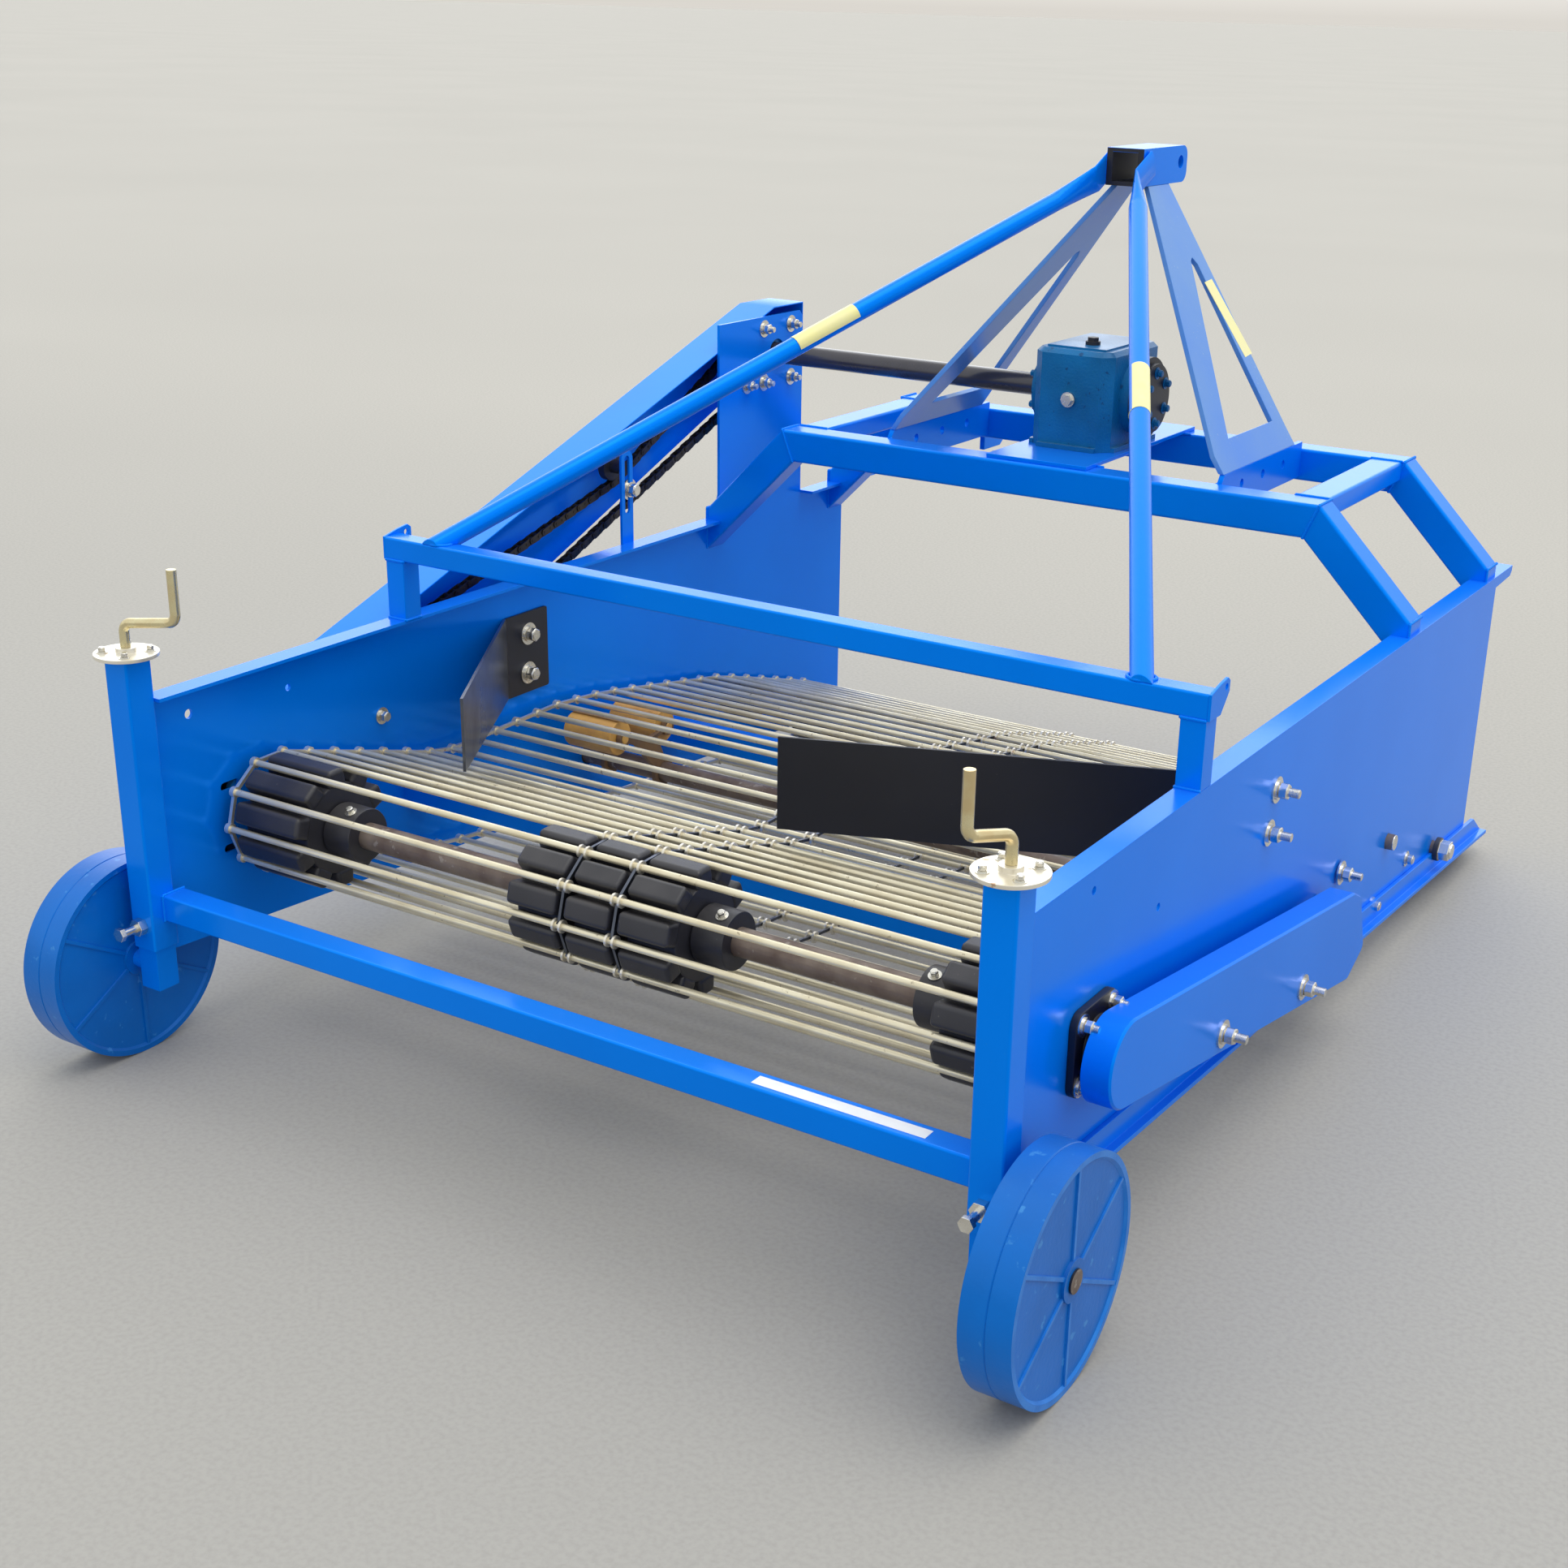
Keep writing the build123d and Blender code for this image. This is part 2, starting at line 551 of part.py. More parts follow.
# ------------------------------------------------------------------------- rear legs
for side, name in SIDES:
    with BuildPart() as leg_tube:
        with BuildSketch(Plane.XY.offset(LEG_BOTTOM_Z)):
            with Locations((side * LEG_X, 0)):
                RectangleRounded(LEG_TUBE, LEG_TUBE, TUBE_CORNER)
                Rectangle(LEG_TUBE - 2 * LEG_WALL, LEG_TUBE - 2 * LEG_WALL, mode=Mode.SUBTRACT)
        extrude(amount=LEG_TOP_Z - LEG_BOTTOM_Z)
    keep(leg_tube, f"leg_tube_{name}")

    with BuildPart() as jack_flange:
        with BuildSketch(Plane.XY.offset(LEG_TOP_Z)):
            with Locations((side * LEG_X, 0)):
                Circle(FLANGE_R)
        extrude(amount=FLANGE_T)
        with BuildSketch(Plane.XY.offset(LEG_TOP_Z + FLANGE_T)):
            with Locations((side * LEG_X, 0)):
                Circle(2 * CRANK_R)
        extrude(amount=FLANGE_BOSS_H)
    keep(jack_flange, f"jack_flange_{name}")

    with BuildPart() as inner_leg:
        with BuildSketch(Plane.XY.offset(INNER_LEG_BOTTOM_Z)):
            with Locations((side * LEG_X, 0)):
                Rectangle(INNER_LEG, INNER_LEG)
        extrude(amount=INNER_LEG_TOP_Z - INNER_LEG_BOTTOM_Z)
        axle_from = LEG_X + INNER_LEG / 2
        hub_near = WHEEL_X - HUB_W / 2
        with BuildSketch(side_plane(side * axle_from)):
            with Locations((0, WHEEL_R)):
                Circle(AXLE_R + AXLE_SHOULDER)
        extrude(amount=side * (hub_near - SEAT - axle_from))
        with BuildSketch(side_plane(side * axle_from)):
            with Locations((0, WHEEL_R)):
                Circle(AXLE_R)
        extrude(amount=side * (WHEEL_X + HUB_W / 2 - axle_from))
        with BuildSketch(side_plane(side * (WHEEL_X + HUB_W / 2 + SEAT))):
            with Locations((0, WHEEL_R)):
                Circle(AXLE_CAP_R)
        extrude(amount=side * AXLE_CAP_T)
        with BuildSketch(side_plane(side * (WHEEL_X + HUB_W / 2))):
            with Locations((0, WHEEL_R)):
                Circle(AXLE_R)
        extrude(amount=side * SEAT)
    keep(inner_leg, f"inner_leg_{name}")

    # cast wheel: a shallow dish and ribs on both faces, and a groove round the tread
    rim_in = WHEEL_R - WHEEL_RIM
    disc = WHEEL_W / 2 - WHEEL_DISH
    rib_from = HUB_R - RIB_H
    with BuildPart() as wheel:
        with BuildSketch(Plane.XZ):
            with BuildLine():
                Polyline(
                    (AXLE_R + AXLE_FIT, -HUB_W / 2),
                    (HUB_R, -HUB_W / 2),
                    (HUB_R, -disc),
                    (rim_in - WHEEL_DISH, -disc),
                    (rim_in, -WHEEL_W / 2),
                    (WHEEL_R, -WHEEL_W / 2),
                    (WHEEL_R, -TREAD_GROOVE),
                    (WHEEL_R - TREAD_GROOVE, 0),
                    (WHEEL_R, TREAD_GROOVE),
                    (WHEEL_R, WHEEL_W / 2),
                    (rim_in, WHEEL_W / 2),
                    (rim_in - WHEEL_DISH, disc),
                    (HUB_R, disc),
                    (HUB_R, HUB_W / 2),
                    (AXLE_R + AXLE_FIT, HUB_W / 2),
                    close=True,
                )
            make_face()
        revolve(axis=Axis.Z)
        for face in (-1, 1):
            with BuildSketch(Plane.XY.offset(face * disc)):
                with PolarLocations((rib_from + rim_in) / 2, WHEEL_RIBS):
                    Rectangle(rim_in - rib_from, RIB_W)
            extrude(amount=face * RIB_H)
    wheel.part = wheel.part.rotate(Axis.Y, 90).translate((side * WHEEL_X, 0, WHEEL_R))
    keep(wheel, f"wheel_{name}")

# cranked handles: up out of the flange, across, and up again
crank_z = LEG_TOP_Z + FLANGE_T + FLANGE_BOSS_H
for side, name, direction, reach in CRANKS:
    hand_x = side * LEG_X + reach * cos(radians(direction))
    hand_y = reach * sin(radians(direction))
    with BuildPart() as crank:
        with BuildLine() as crank_line:
            FilletPolyline(
                (side * LEG_X, 0, crank_z),
                (side * LEG_X, 0, crank_z + CRANK_RISE[0]),
                (hand_x, hand_y, crank_z + CRANK_RISE[0] + CRANK_RISE[1]),
                (hand_x, hand_y, crank_z + sum(CRANK_RISE)),
                radius=2 * CRANK_R,
            )
        with BuildSketch(Plane.XY.offset(crank_z)):
            with Locations((side * LEG_X, 0)):
                RegularPolygon(CRANK_R, 12)
        sweep(path=crank_line.line)
    keep(crank, f"crank_{name}")

with BuildPart() as set_screws:
    for side, name in SIDES:
        reach = LEG_HALF
        for length, radius, sides in SET_SCREW:
            with BuildSketch(Plane.XZ.offset(reach)):
                with Locations((side * LEG_X, LEG_BOTTOM_Z + SET_SCREW_RISE)):
                    if sides:
                        RegularPolygon(radius, sides)
                    else:
                        Circle(radius)
            extrude(amount=length)
            reach += length
keep(set_screws, "set_screws")

# --------------------------------------------------------------------- cross members
leg_inner_x = LEG_X - LEG_HALF
cross_tubes = (                 # name, half length, size, (rear y, lower z) of each tube
    ("rear_cross_tube", leg_inner_x, REAR_TUBE, ((0.0, REAR_TUBE_Z),)),
    ("under_web_tubes", INNER_X, UNDER_TUBE, UNDER_TUBES),
    ("arch_tube", HALF_WIDTH, ARCH_TUBE, ((ARCH_Y, ARCH_Z),)),
)
for name, half_length, size, corners in cross_tubes:
    with BuildPart() as cross_tube:
        for corner_y, corner_z in corners:
            with BuildSketch(side_plane(-half_length)):
                with Locations((corner_y + size / 2, corner_z + size / 2)):
                    RectangleRounded(size, size, TUBE_CORNER)
                    Rectangle(size - 2 * TUBE_WALL, size - 2 * TUBE_WALL, mode=Mode.SUBTRACT)
            extrude(amount=2 * half_length)
    keep(cross_tube, name)

with BuildPart() as arch_posts:
    for side, name in SIDES:
        with BuildSketch(Plane.XY.offset(PLATE_TOP_Z)):
            with Locations((side * (HALF_WIDTH - ARCH_TUBE / 2), ARCH_Y + ARCH_TUBE / 2)):
                Rectangle(ARCH_TUBE, ARCH_TUBE)
        extrude(amount=ARCH_Z - PLATE_TOP_Z)
keep(arch_posts, "arch_posts")

with BuildPart() as arch_ends:
    for side, name in SIDES:
        with BuildSketch(side_plane(low_x(side, HALF_WIDTH, HALF_WIDTH + EAR_PLATE_T))):
            with BuildLine():
                Polyline(
                    (ARCH_Y, ARCH_Z),
                    (ARCH_Y + ARCH_TUBE, ARCH_Z),
                    *[(ARCH_Y + ARCH_TUBE + ahead, ARCH_Z + ARCH_TUBE + up) for ahead, up in ARCH_EAR],
                    (ARCH_Y, ARCH_Z + ARCH_TUBE),
                    close=True,
                )
            make_face()
            with Locations((ARCH_Y + ARCH_TUBE + ARCH_EAR_HOLE[0], ARCH_Z + ARCH_TUBE + ARCH_EAR_HOLE[1])):
                Circle(ARCH_EAR_HOLE[2], mode=Mode.SUBTRACT)
        extrude(amount=EAR_PLATE_T)
keep(arch_ends, "arch_ends")

# ------------------------------------------------------------------------- headstock
with BuildPart() as headstock_beams:
    for beam_y in (BEAM_REAR_Y, BEAM_FRONT_Y):
        with BuildSketch(Plane.XZ.offset(-beam_y)):
            with BuildLine():
                Polyline(
                    (-BEAM_CORNER_X, BEAM_TOP_Z),
                    (BEAM_CORNER_X, BEAM_TOP_Z),
                    (BEAM_CORNER_X - MITRE, BEAM_Z),
                    (MITRE - BEAM_CORNER_X, BEAM_Z),
                    close=True,
                )
            make_face()
        extrude(amount=-BEAM)
keep(headstock_beams, "headstock_beams")

with BuildPart() as headstock_struts:
    for beam_y in (BEAM_REAR_Y, BEAM_FRONT_Y):
        for side, name in SIDES:
            with BuildSketch(Plane.XZ.offset(-beam_y)):
                with BuildLine():
                    Polyline(*[(side * x, z) for x, z in strut_outline], close=True)
                make_face()
            extrude(amount=-BEAM)
keep(headstock_struts, "headstock_struts")

beam_gap_y = (BEAM_REAR_Y + BEAM, BEAM_FRONT_Y)
with BuildPart() as beam_spacers:
    for side, name in SIDES:
        with BuildSketch(Plane.XY.offset(BEAM_TOP_Z - SPACER_H)):
            with Locations((side * (BEAM_CORNER_X - SPACER_INSET - SPACER_W / 2), sum(beam_gap_y) / 2)):
                Rectangle(SPACER_W, beam_gap_y[1] - beam_gap_y[0])
        extrude(amount=SPACER_H)
keep(beam_spacers, "beam_spacers")

with BuildPart() as mast_brackets:
    for side, name in SIDES:
        with BuildSketch(side_plane(low_x(side, BRACKET_X - BRACKET_T / 2, BRACKET_X + BRACKET_T / 2))):
            with BuildLine():
                Polyline(
                    (beam_gap_y[0], BRACKET_BOTTOM_Z),
                    (beam_gap_y[0], BEAM_TOP_Z),
                    (beam_gap_y[0] + BRACKET_SLOPE, BRACKET_TOP_Z),
                    (beam_gap_y[1], BRACKET_TOP_Z),
                    (beam_gap_y[1], BRACKET_BOTTOM_Z),
                    close=True,
                )
            make_face()
            with Locations((sum(beam_gap_y) / 2, BRACKET_TOP_Z - BRACKET_HOLE_DROP)):
                with GridLocations(BRACKET_HOLE_PITCH, 0, 3, 1):
                    Circle(BRACKET_HOLE_R, mode=Mode.SUBTRACT)
        extrude(amount=BRACKET_T)
keep(mast_brackets, "mast_brackets")

with BuildPart() as lower_hitch_ears:
    for side, name in SIDES:
        with BuildSketch(side_plane(low_x(side, LOWER_PIN_SHOULDER_X - EAR_T, LOWER_PIN_SHOULDER_X))):
            with BuildLine():
                Polyline(
                    (BEAM_FRONT_Y + BEAM, BEAM_Z - EAR_DROP),
                    (BEAM_FRONT_Y + BEAM, BEAM_TOP_Z - EAR_TOP_DROP),
                    *((LOWER_PIN_Y + ahead, LOWER_PIN_Z + half) for ahead, half in EAR_NOSE),
                    *((LOWER_PIN_Y + ahead, LOWER_PIN_Z - half) for ahead, half in EAR_NOSE[::-1]),
                    close=True,
                )
            make_face()
        extrude(amount=EAR_T)
        with BuildSketch(side_plane(side * LOWER_PIN_SHOULDER_X)):
            with Locations((LOWER_PIN_Y, LOWER_PIN_Z)):
                Circle(LOWER_PIN_R)
        extrude(amount=side * LOWER_PIN_LENGTH)
keep(lower_hitch_ears, "lower_hitch_ears")

# ------------------------------------------------------------------------------ mast
mast_lean = BRACKET_X - HEAD_W / 2 + MAST_T / 2
mast_rise = HEAD_BOTTOM_Z - BRACKET_TOP_Z
mast_length = hypot(mast_lean, mast_rise)
for side, name in SIDES:
    slope = Plane(
        origin=(side * (BRACKET_X + MAST_T / 2 * mast_rise / mast_length), 0, BRACKET_TOP_Z),
        x_dir=(0, 1, 0),
        z_dir=(side * mast_rise, 0, mast_lean),
    )
    up = side                       # local y runs down the slope on the left side
    with BuildPart() as mast_plate:
        with BuildSketch(slope):
            with BuildLine():
                Polyline(
                    (MAST_FOOT_Y[0], -up * MAST_LAP),
                    (MAST_FOOT_Y[1], -up * MAST_LAP),
                    (MAST_FOOT_Y[1], up * MAST_FOOT_RISE),
                    (MAST_HEAD_Y[1], up * (mast_length + MAST_LAP)),
                    (MAST_HEAD_Y[0], up * (mast_length + MAST_LAP)),
                    (MAST_FOOT_Y[0], up * MAST_FOOT_RISE),
                    close=True,
                )
            make_face()
            with BuildLine():
                Polyline(
                    (MAST_FOOT_Y[0] + SLOT_REAR, up * SLOT_BOTTOM),
                    (MAST_FOOT_Y[1] - SLOT_FRONT, up * SLOT_BOTTOM),
                    *((MAST_FOOT_Y[1] - back, up * (mast_length - SLOT_TOP - down))
                      for back, down in SLOT_HEAD),
                    close=True,
                )
            make_face(mode=Mode.SUBTRACT)
        extrude(amount=-MAST_T)
        split(bisect_by=Plane.XY.offset(BRACKET_TOP_Z), keep=Keep.TOP)
        split(bisect_by=Plane.XY.offset(HEAD_BOTTOM_Z), keep=Keep.BOTTOM)
    keep(mast_plate, f"mast_plate_{name}")

head_middle = ((HEAD_REAR_Y + HEAD_FRONT_Y) / 2, (HEAD_BOTTOM_Z + HEAD_TOP_Z) / 2)
with BuildPart() as mast_head:
    with BuildSketch(side_plane(-HEAD_W / 2)) as head_side:
        with Locations(head_middle):
            Rectangle(HEAD_FRONT_Y - HEAD_REAR_Y, HEAD_H)
        fillet(head_side.vertices().group_by(Axis.X)[-1], HEAD_NOSE_R)
        with Locations((TOP_PIN_Y, TOP_PIN_Z)):
            Circle(TOP_PIN_R, mode=Mode.SUBTRACT)
    extrude(amount=HEAD_W)
    with BuildSketch(Plane.XZ.offset(-HEAD_REAR_Y)):
        with Locations((0, head_middle[1])):
            Rectangle(HEAD_GAP, HEAD_H - 2 * HEAD_WALL)
    extrude(amount=-(HEAD_FRONT_Y - HEAD_REAR_Y), mode=Mode.SUBTRACT)
    # the front is open below, for the top link
    with BuildSketch(Plane.XY.offset(HEAD_BOTTOM_Z)):
        with Locations((0, HEAD_FRONT_Y - CLEVIS_DEPTH / 2)):
            Rectangle(HEAD_GAP, CLEVIS_DEPTH)
    extrude(amount=HEAD_WALL, mode=Mode.SUBTRACT)
keep(mast_head, "mast_head")

arch_top_z = ARCH_Z + ARCH_TUBE
for side, name in SIDES:
    foot = Vector(side * BRACE_FOOT_X, ARCH_Y + ARCH_TUBE / 2, arch_top_z)
    head_x = HEAD_W / 2 + BRACE_FLAT_T / 2 - 2
    head = Vector(side * head_x, HEAD_REAR_Y + BRACE_HEAD[0], head_middle[1] + BRACE_HEAD[1])
    flat_way = Vector(0, head.Y - foot.Y, head.Z - foot.Z).normalized()
    flat_start = head - flat_way * BRACE_FLAT_LENGTH
    way = (flat_start - foot).normalized()
    taper_start = flat_start - way * BRACE_TAPER
    tube_start = foot - way * 4 * BRACE_R
    flat_end = Plane(origin=flat_start, x_dir=(1, 0, 0), z_dir=flat_way)
    with BuildPart() as brace:
        with BuildSketch(Plane(origin=tube_start, x_dir=(1, 0, 0), z_dir=way)):
            Circle(BRACE_R)
        extrude(amount=(taper_start - tube_start).length)
        # the upper end is pressed flat: from round to an oval that lies on the head's cheek
        with BuildSketch(Plane(origin=taper_start, x_dir=(1, 0, 0), z_dir=way)):
            Circle(BRACE_R)
        with BuildSketch(flat_end):
            Ellipse(BRACE_FLAT_T / 2, BRACE_FLAT_W / 2)
        loft()
        with BuildSketch(flat_end):
            Ellipse(BRACE_FLAT_T / 2, BRACE_FLAT_W / 2)
        extrude(amount=BRACE_FLAT_LENGTH)
        split(bisect_by=side_plane(side * HEAD_W / 2), keep=Keep.TOP if side > 0 else Keep.BOTTOM)
        # the lower end is notched over the arch tube's top and front faces
        split(bisect_by=Plane.XZ.offset(-ARCH_Y), keep=Keep.BOTTOM)
        split(bisect_by=Plane.XY.offset(arch_top_z - BRACE_R), keep=Keep.TOP)
        with BuildSketch(Plane.XY.offset(ARCH_Z)):
            with Locations((0, ARCH_Y + ARCH_TUBE / 2)):
                Rectangle(2 * HALF_WIDTH, ARCH_TUBE)
        extrude(amount=ARCH_TUBE, mode=Mode.SUBTRACT)
    keep(brace, f"brace_{name}")

# --------------------------------------------------------------------------- gearbox
with BuildPart() as gearbox_plate:
    with BuildSketch(Plane.XY.offset(BEAM_TOP_Z)):
        with Locations((0, (BEAM_REAR_Y + BEAM_FRONT_Y + BEAM) / 2)):
            Rectangle(GEARBOX_W + GEARBOX_PLATE_OVER,
                      BEAM_FRONT_Y + BEAM - BEAM_REAR_Y - GEARBOX_PLATE_SHORT)
    extrude(amount=MOUNT_PLATE_T)
keep(gearbox_plate, "gearbox_plate")

cap_x = GEARBOX_W / 2
gearbox_middle_y = (GEARBOX_REAR_Y + GEARBOX_FRONT_Y) / 2
with BuildPart() as gearbox:
    with BuildSketch(Plane.XY.offset(GEARBOX_Z)):
        with Locations((0, gearbox_middle_y)):
            Rectangle(GEARBOX_W, GEARBOX_LENGTH)
    extrude(amount=GEARBOX_TOP_Z - GEARBOX_Z)
    chamfer(gearbox.edges().filter_by(Axis.Z), GEARBOX_CORNER)
    chamfer(gearbox.faces().sort_by(Axis.Z)[-1].edges(), GEARBOX_EDGE)
    # foot flange and cover plate
    with BuildSketch(Plane.XY.offset(GEARBOX_Z)):
        with Locations((0, gearbox_middle_y)):
            Rectangle(GEARBOX_W + 2 * FOOT_FLANGE, GEARBOX_LENGTH - 2 * GEARBOX_CORNER)
            Rectangle(GEARBOX_W - 2 * GEARBOX_CORNER, GEARBOX_LENGTH + 2 * FOOT_FLANGE)
    extrude(amount=FOOT_FLANGE)
    with BuildSketch(Plane.XY.offset(GEARBOX_TOP_Z)):
        with Locations((0, gearbox_middle_y)):
            Rectangle(GEARBOX_W - 2 * GEARBOX_CORNER, GEARBOX_LENGTH - 2 * GEARBOX_CORNER)
    extrude(amount=COVER_PLATE_T)
    # bearing caps on both sides, with a coupling disc behind the right one
    cap_table = (                      # x from, x to, radius
        (-cap_x, -cap_x - SIDE_CAP_T, SIDE_CAP_R),
        (cap_x, cap_x + SIDE_CAP_T, SIDE_CAP_R),
        (cap_x + SIDE_CAP_T, cap_x + SIDE_CAP_T + COUPLING_T, COUPLING_R),
        (cap_x + SIDE_CAP_T + COUPLING_T, cap_x + SIDE_CAP_T + 2 * COUPLING_T, COUPLING_R - COUPLING_T),
    )
    for x_from, x_to, radius in cap_table:
        with BuildSketch(side_plane(x_from)):
            with Locations((DRIVE_Y, DRIVE_Z)):
                Circle(radius)
        extrude(amount=x_to - x_from)
    with BuildSketch(Plane.XZ.offset(-GEARBOX_FRONT_Y)):
        with Locations((0, DRIVE_Z)):
            Circle(INPUT_CAP_R)
    extrude(amount=-SIDE_CAP_T)
    # filler plug in the cover, level plug in the rear face: a collar and a hexagon each
    plug_x, plug_y = FILLER_PLUG
    for reach, plug_r, sides in ((0, PLUG_R, 0), (PLUG_R / 2, PLUG_R * 0.8, 6)):
        with BuildSketch(Plane.XY.offset(GEARBOX_TOP_Z + COVER_PLATE_T + reach)):
            with Locations((plug_x, GEARBOX_REAR_Y + plug_y)):
                RegularPolygon(plug_r, sides) if sides else Circle(plug_r)
        extrude(amount=PLUG_R / 2)
        with BuildSketch(Plane.XZ.offset(-GEARBOX_REAR_Y + reach)):
            with Locations((0, DRIVE_Z)):
                RegularPolygon(plug_r, sides) if sides else Circle(plug_r)
        extrude(amount=PLUG_R / 2)
keep(gearbox, "gearbox")

with BuildPart() as pto_shaft:
    with BuildSketch(Plane.XZ.offset(-(GEARBOX_FRONT_Y + SIDE_CAP_T))):
        with Locations((0, DRIVE_Z)):
            Circle(PTO_R)
            with PolarLocations(PTO_R, SPLINES):
                Rectangle(*SPLINE_GROOVE, mode=Mode.SUBTRACT)
    extrude(amount=-PTO_LENGTH)
keep(pto_shaft, "pto_shaft")

with BuildPart() as cross_shaft:
    with BuildSketch(side_plane(-cap_x - SIDE_CAP_T)):
        with Locations((DRIVE_Y, DRIVE_Z)):
            Circle(CROSS_SHAFT_R)
    extrude(amount=CHAIN_X - CHAIN_W + cap_x + SIDE_CAP_T)
keep(cross_shaft, "cross_shaft")

# ---------------------------------------------------------------------------- bearings
BEARING_H = 24.0
BEARING_CORNER = 0.35       # corner radius, as a share of half the flange
bearing_table = (              # sides, y, z, half of the flange, boss radius, bore radius
    ((-1,), DRIVE_Y, DRIVE_Z, 66.0, 42.0, CROSS_SHAFT_R + SEAT),
    ((-1, 1), WEB_DRIVE_Y, WEB_DRIVE_Z, 64.0, 42.0, WEB_SHAFT_R + SEAT),
    ((-1, 1), *SHAKER_SHAFT, 50.0, 36.0, SHAKER_SHAFT_R + SEAT),
)
with BuildPart() as bearings:
    for sides, y, z, half, boss_r, bore_r in bearing_table:
        for side in sides:
            with BuildSketch(side_plane(side * HALF_WIDTH)):
                with Locations((y, z)):
                    RectangleRounded(2 * half, 2 * half, half * BEARING_CORNER)
                    Circle(bore_r, mode=Mode.SUBTRACT)
            extrude(amount=side * BEARING_H / 2)
            with BuildSketch(side_plane(side * (HALF_WIDTH + BEARING_H / 2))):
                with Locations((y, z)):
                    Circle(boss_r)
                    Circle(bore_r, mode=Mode.SUBTRACT)
            extrude(amount=side * BEARING_H / 2)
keep(bearings, "bearings")

# ----------------------------------------------------------------------- left chain drive
sprocket_x = CHAIN_X - CHAIN_W / 2
with BuildPart() as chain_sprockets:
    for y, z, radius, bore in (
        (DRIVE_Y, DRIVE_Z, TOP_SPROCKET_R, CROSS_SHAFT_R),
        (WEB_DRIVE_Y, WEB_DRIVE_Z, LOW_SPROCKET_R, WEB_SHAFT_R),
    ):
        with BuildSketch(side_plane(sprocket_x + SPROCKET_INSET)):
            with Locations((y, z)):
                Circle(radius)
                Circle(bore + SEAT, mode=Mode.SUBTRACT)
        extrude(amount=CHAIN_W - 2 * SPROCKET_INSET)
keep(chain_sprockets, "chain_sprockets")

# the idler's place: a distance along the chain's upper run, and pressed into it
half_chain = CHAIN_H / 2
top_circle = (DRIVE_Y, DRIVE_Z, TOP_SPROCKET_R + half_chain + SEAT, 1)
low_circle = (WEB_DRIVE_Y, WEB_DRIVE_Z, LOW_SPROCKET_R + half_chain + SEAT, 1)
run_start, run_end = Loop.tangent(top_circle, low_circle)
run_y, run_z = run_end[0] - run_start[0], run_end[1] - run_start[1]
run_length = hypot(run_y, run_z)
idler_r = IDLER_R + half_chain + SEAT
idler_lift = idler_r - IDLER_PRESS
idler_y = run_start[0] + (run_y * IDLER_ALONG + run_z * idler_lift) / run_length
idler_z = run_start[1] + (run_z * IDLER_ALONG - run_y * idler_lift) / run_length
bracket_foot_z = PLATE_TOP_Z - IDLER_BRACKET_LAP
bracket_head_z = idler_z + IDLER_BRACKET_RISE
chain_line = Loop((top_circle, (idler_y, idler_z, idler_r, -1), low_circle))
with BuildPart() as drive_chain:
    with BuildSketch(side_plane(sprocket_x)):
        with BuildLine():
            chain_line.draw(half_chain)
        make_face()
        with BuildLine():
            chain_line.draw(-half_chain)
        make_face(mode=Mode.SUBTRACT)
    extrude(amount=CHAIN_W)
keep(drive_chain, "drive_chain")

with BuildPart() as idler_bracket:
    with BuildSketch(side_plane(-HALF_WIDTH - IDLER_BRACKET_T)):
        with Locations((idler_y, (bracket_foot_z + bracket_head_z) / 2)):
            RectangleRounded(IDLER_BRACKET_W, bracket_head_z - bracket_foot_z, IDLER_BRACKET_W / 2 - 1)
        with Locations((idler_y, bracket_head_z - IDLER_SLOT[0] / 2 - IDLER_SLOT_DROP)):
            SlotOverall(*IDLER_SLOT, rotation=90, mode=Mode.SUBTRACT)
    extrude(amount=IDLER_BRACKET_T)
keep(idler_bracket, "idler_bracket")

with BuildPart() as chain_idler:
    with BuildSketch(side_plane(sprocket_x)):
        with Locations((idler_y, idler_z)):
            Circle(IDLER_R)
    extrude(amount=CHAIN_W)
    with BuildSketch(side_plane(sprocket_x + CHAIN_W)):
        with Locations((idler_y, idler_z)):
            Circle(IDLER_HUB_R)
    extrude(amount=-HALF_WIDTH - IDLER_BRACKET_T - (sprocket_x + CHAIN_W))
keep(chain_idler, "chain_idler")

cover_high = TOWER_TOP_Z + COVER_RISE
cover_rear_r = LOW_SPROCKET_R + CHAIN_H + COVER_ROOM
cover_angle = atan2(COVER_SLOPE, 1)


def cover_shell(grow):
    """Outline of the guard in the side view, moved outwards by grow."""
    ny, nz = -sin(cover_angle), cos(cover_angle)
    radius = cover_rear_r + grow
    top = (WEB_DRIVE_Y + radius * ny, WEB_DRIVE_Z + radius * nz)
    high = cover_high + grow
    bend = (top[0] + (high - top[1]) / COVER_SLOPE, high)
    front = TOWER_FRONT_Y + COVER_AHEAD + grow
    return top, bend, front, radius


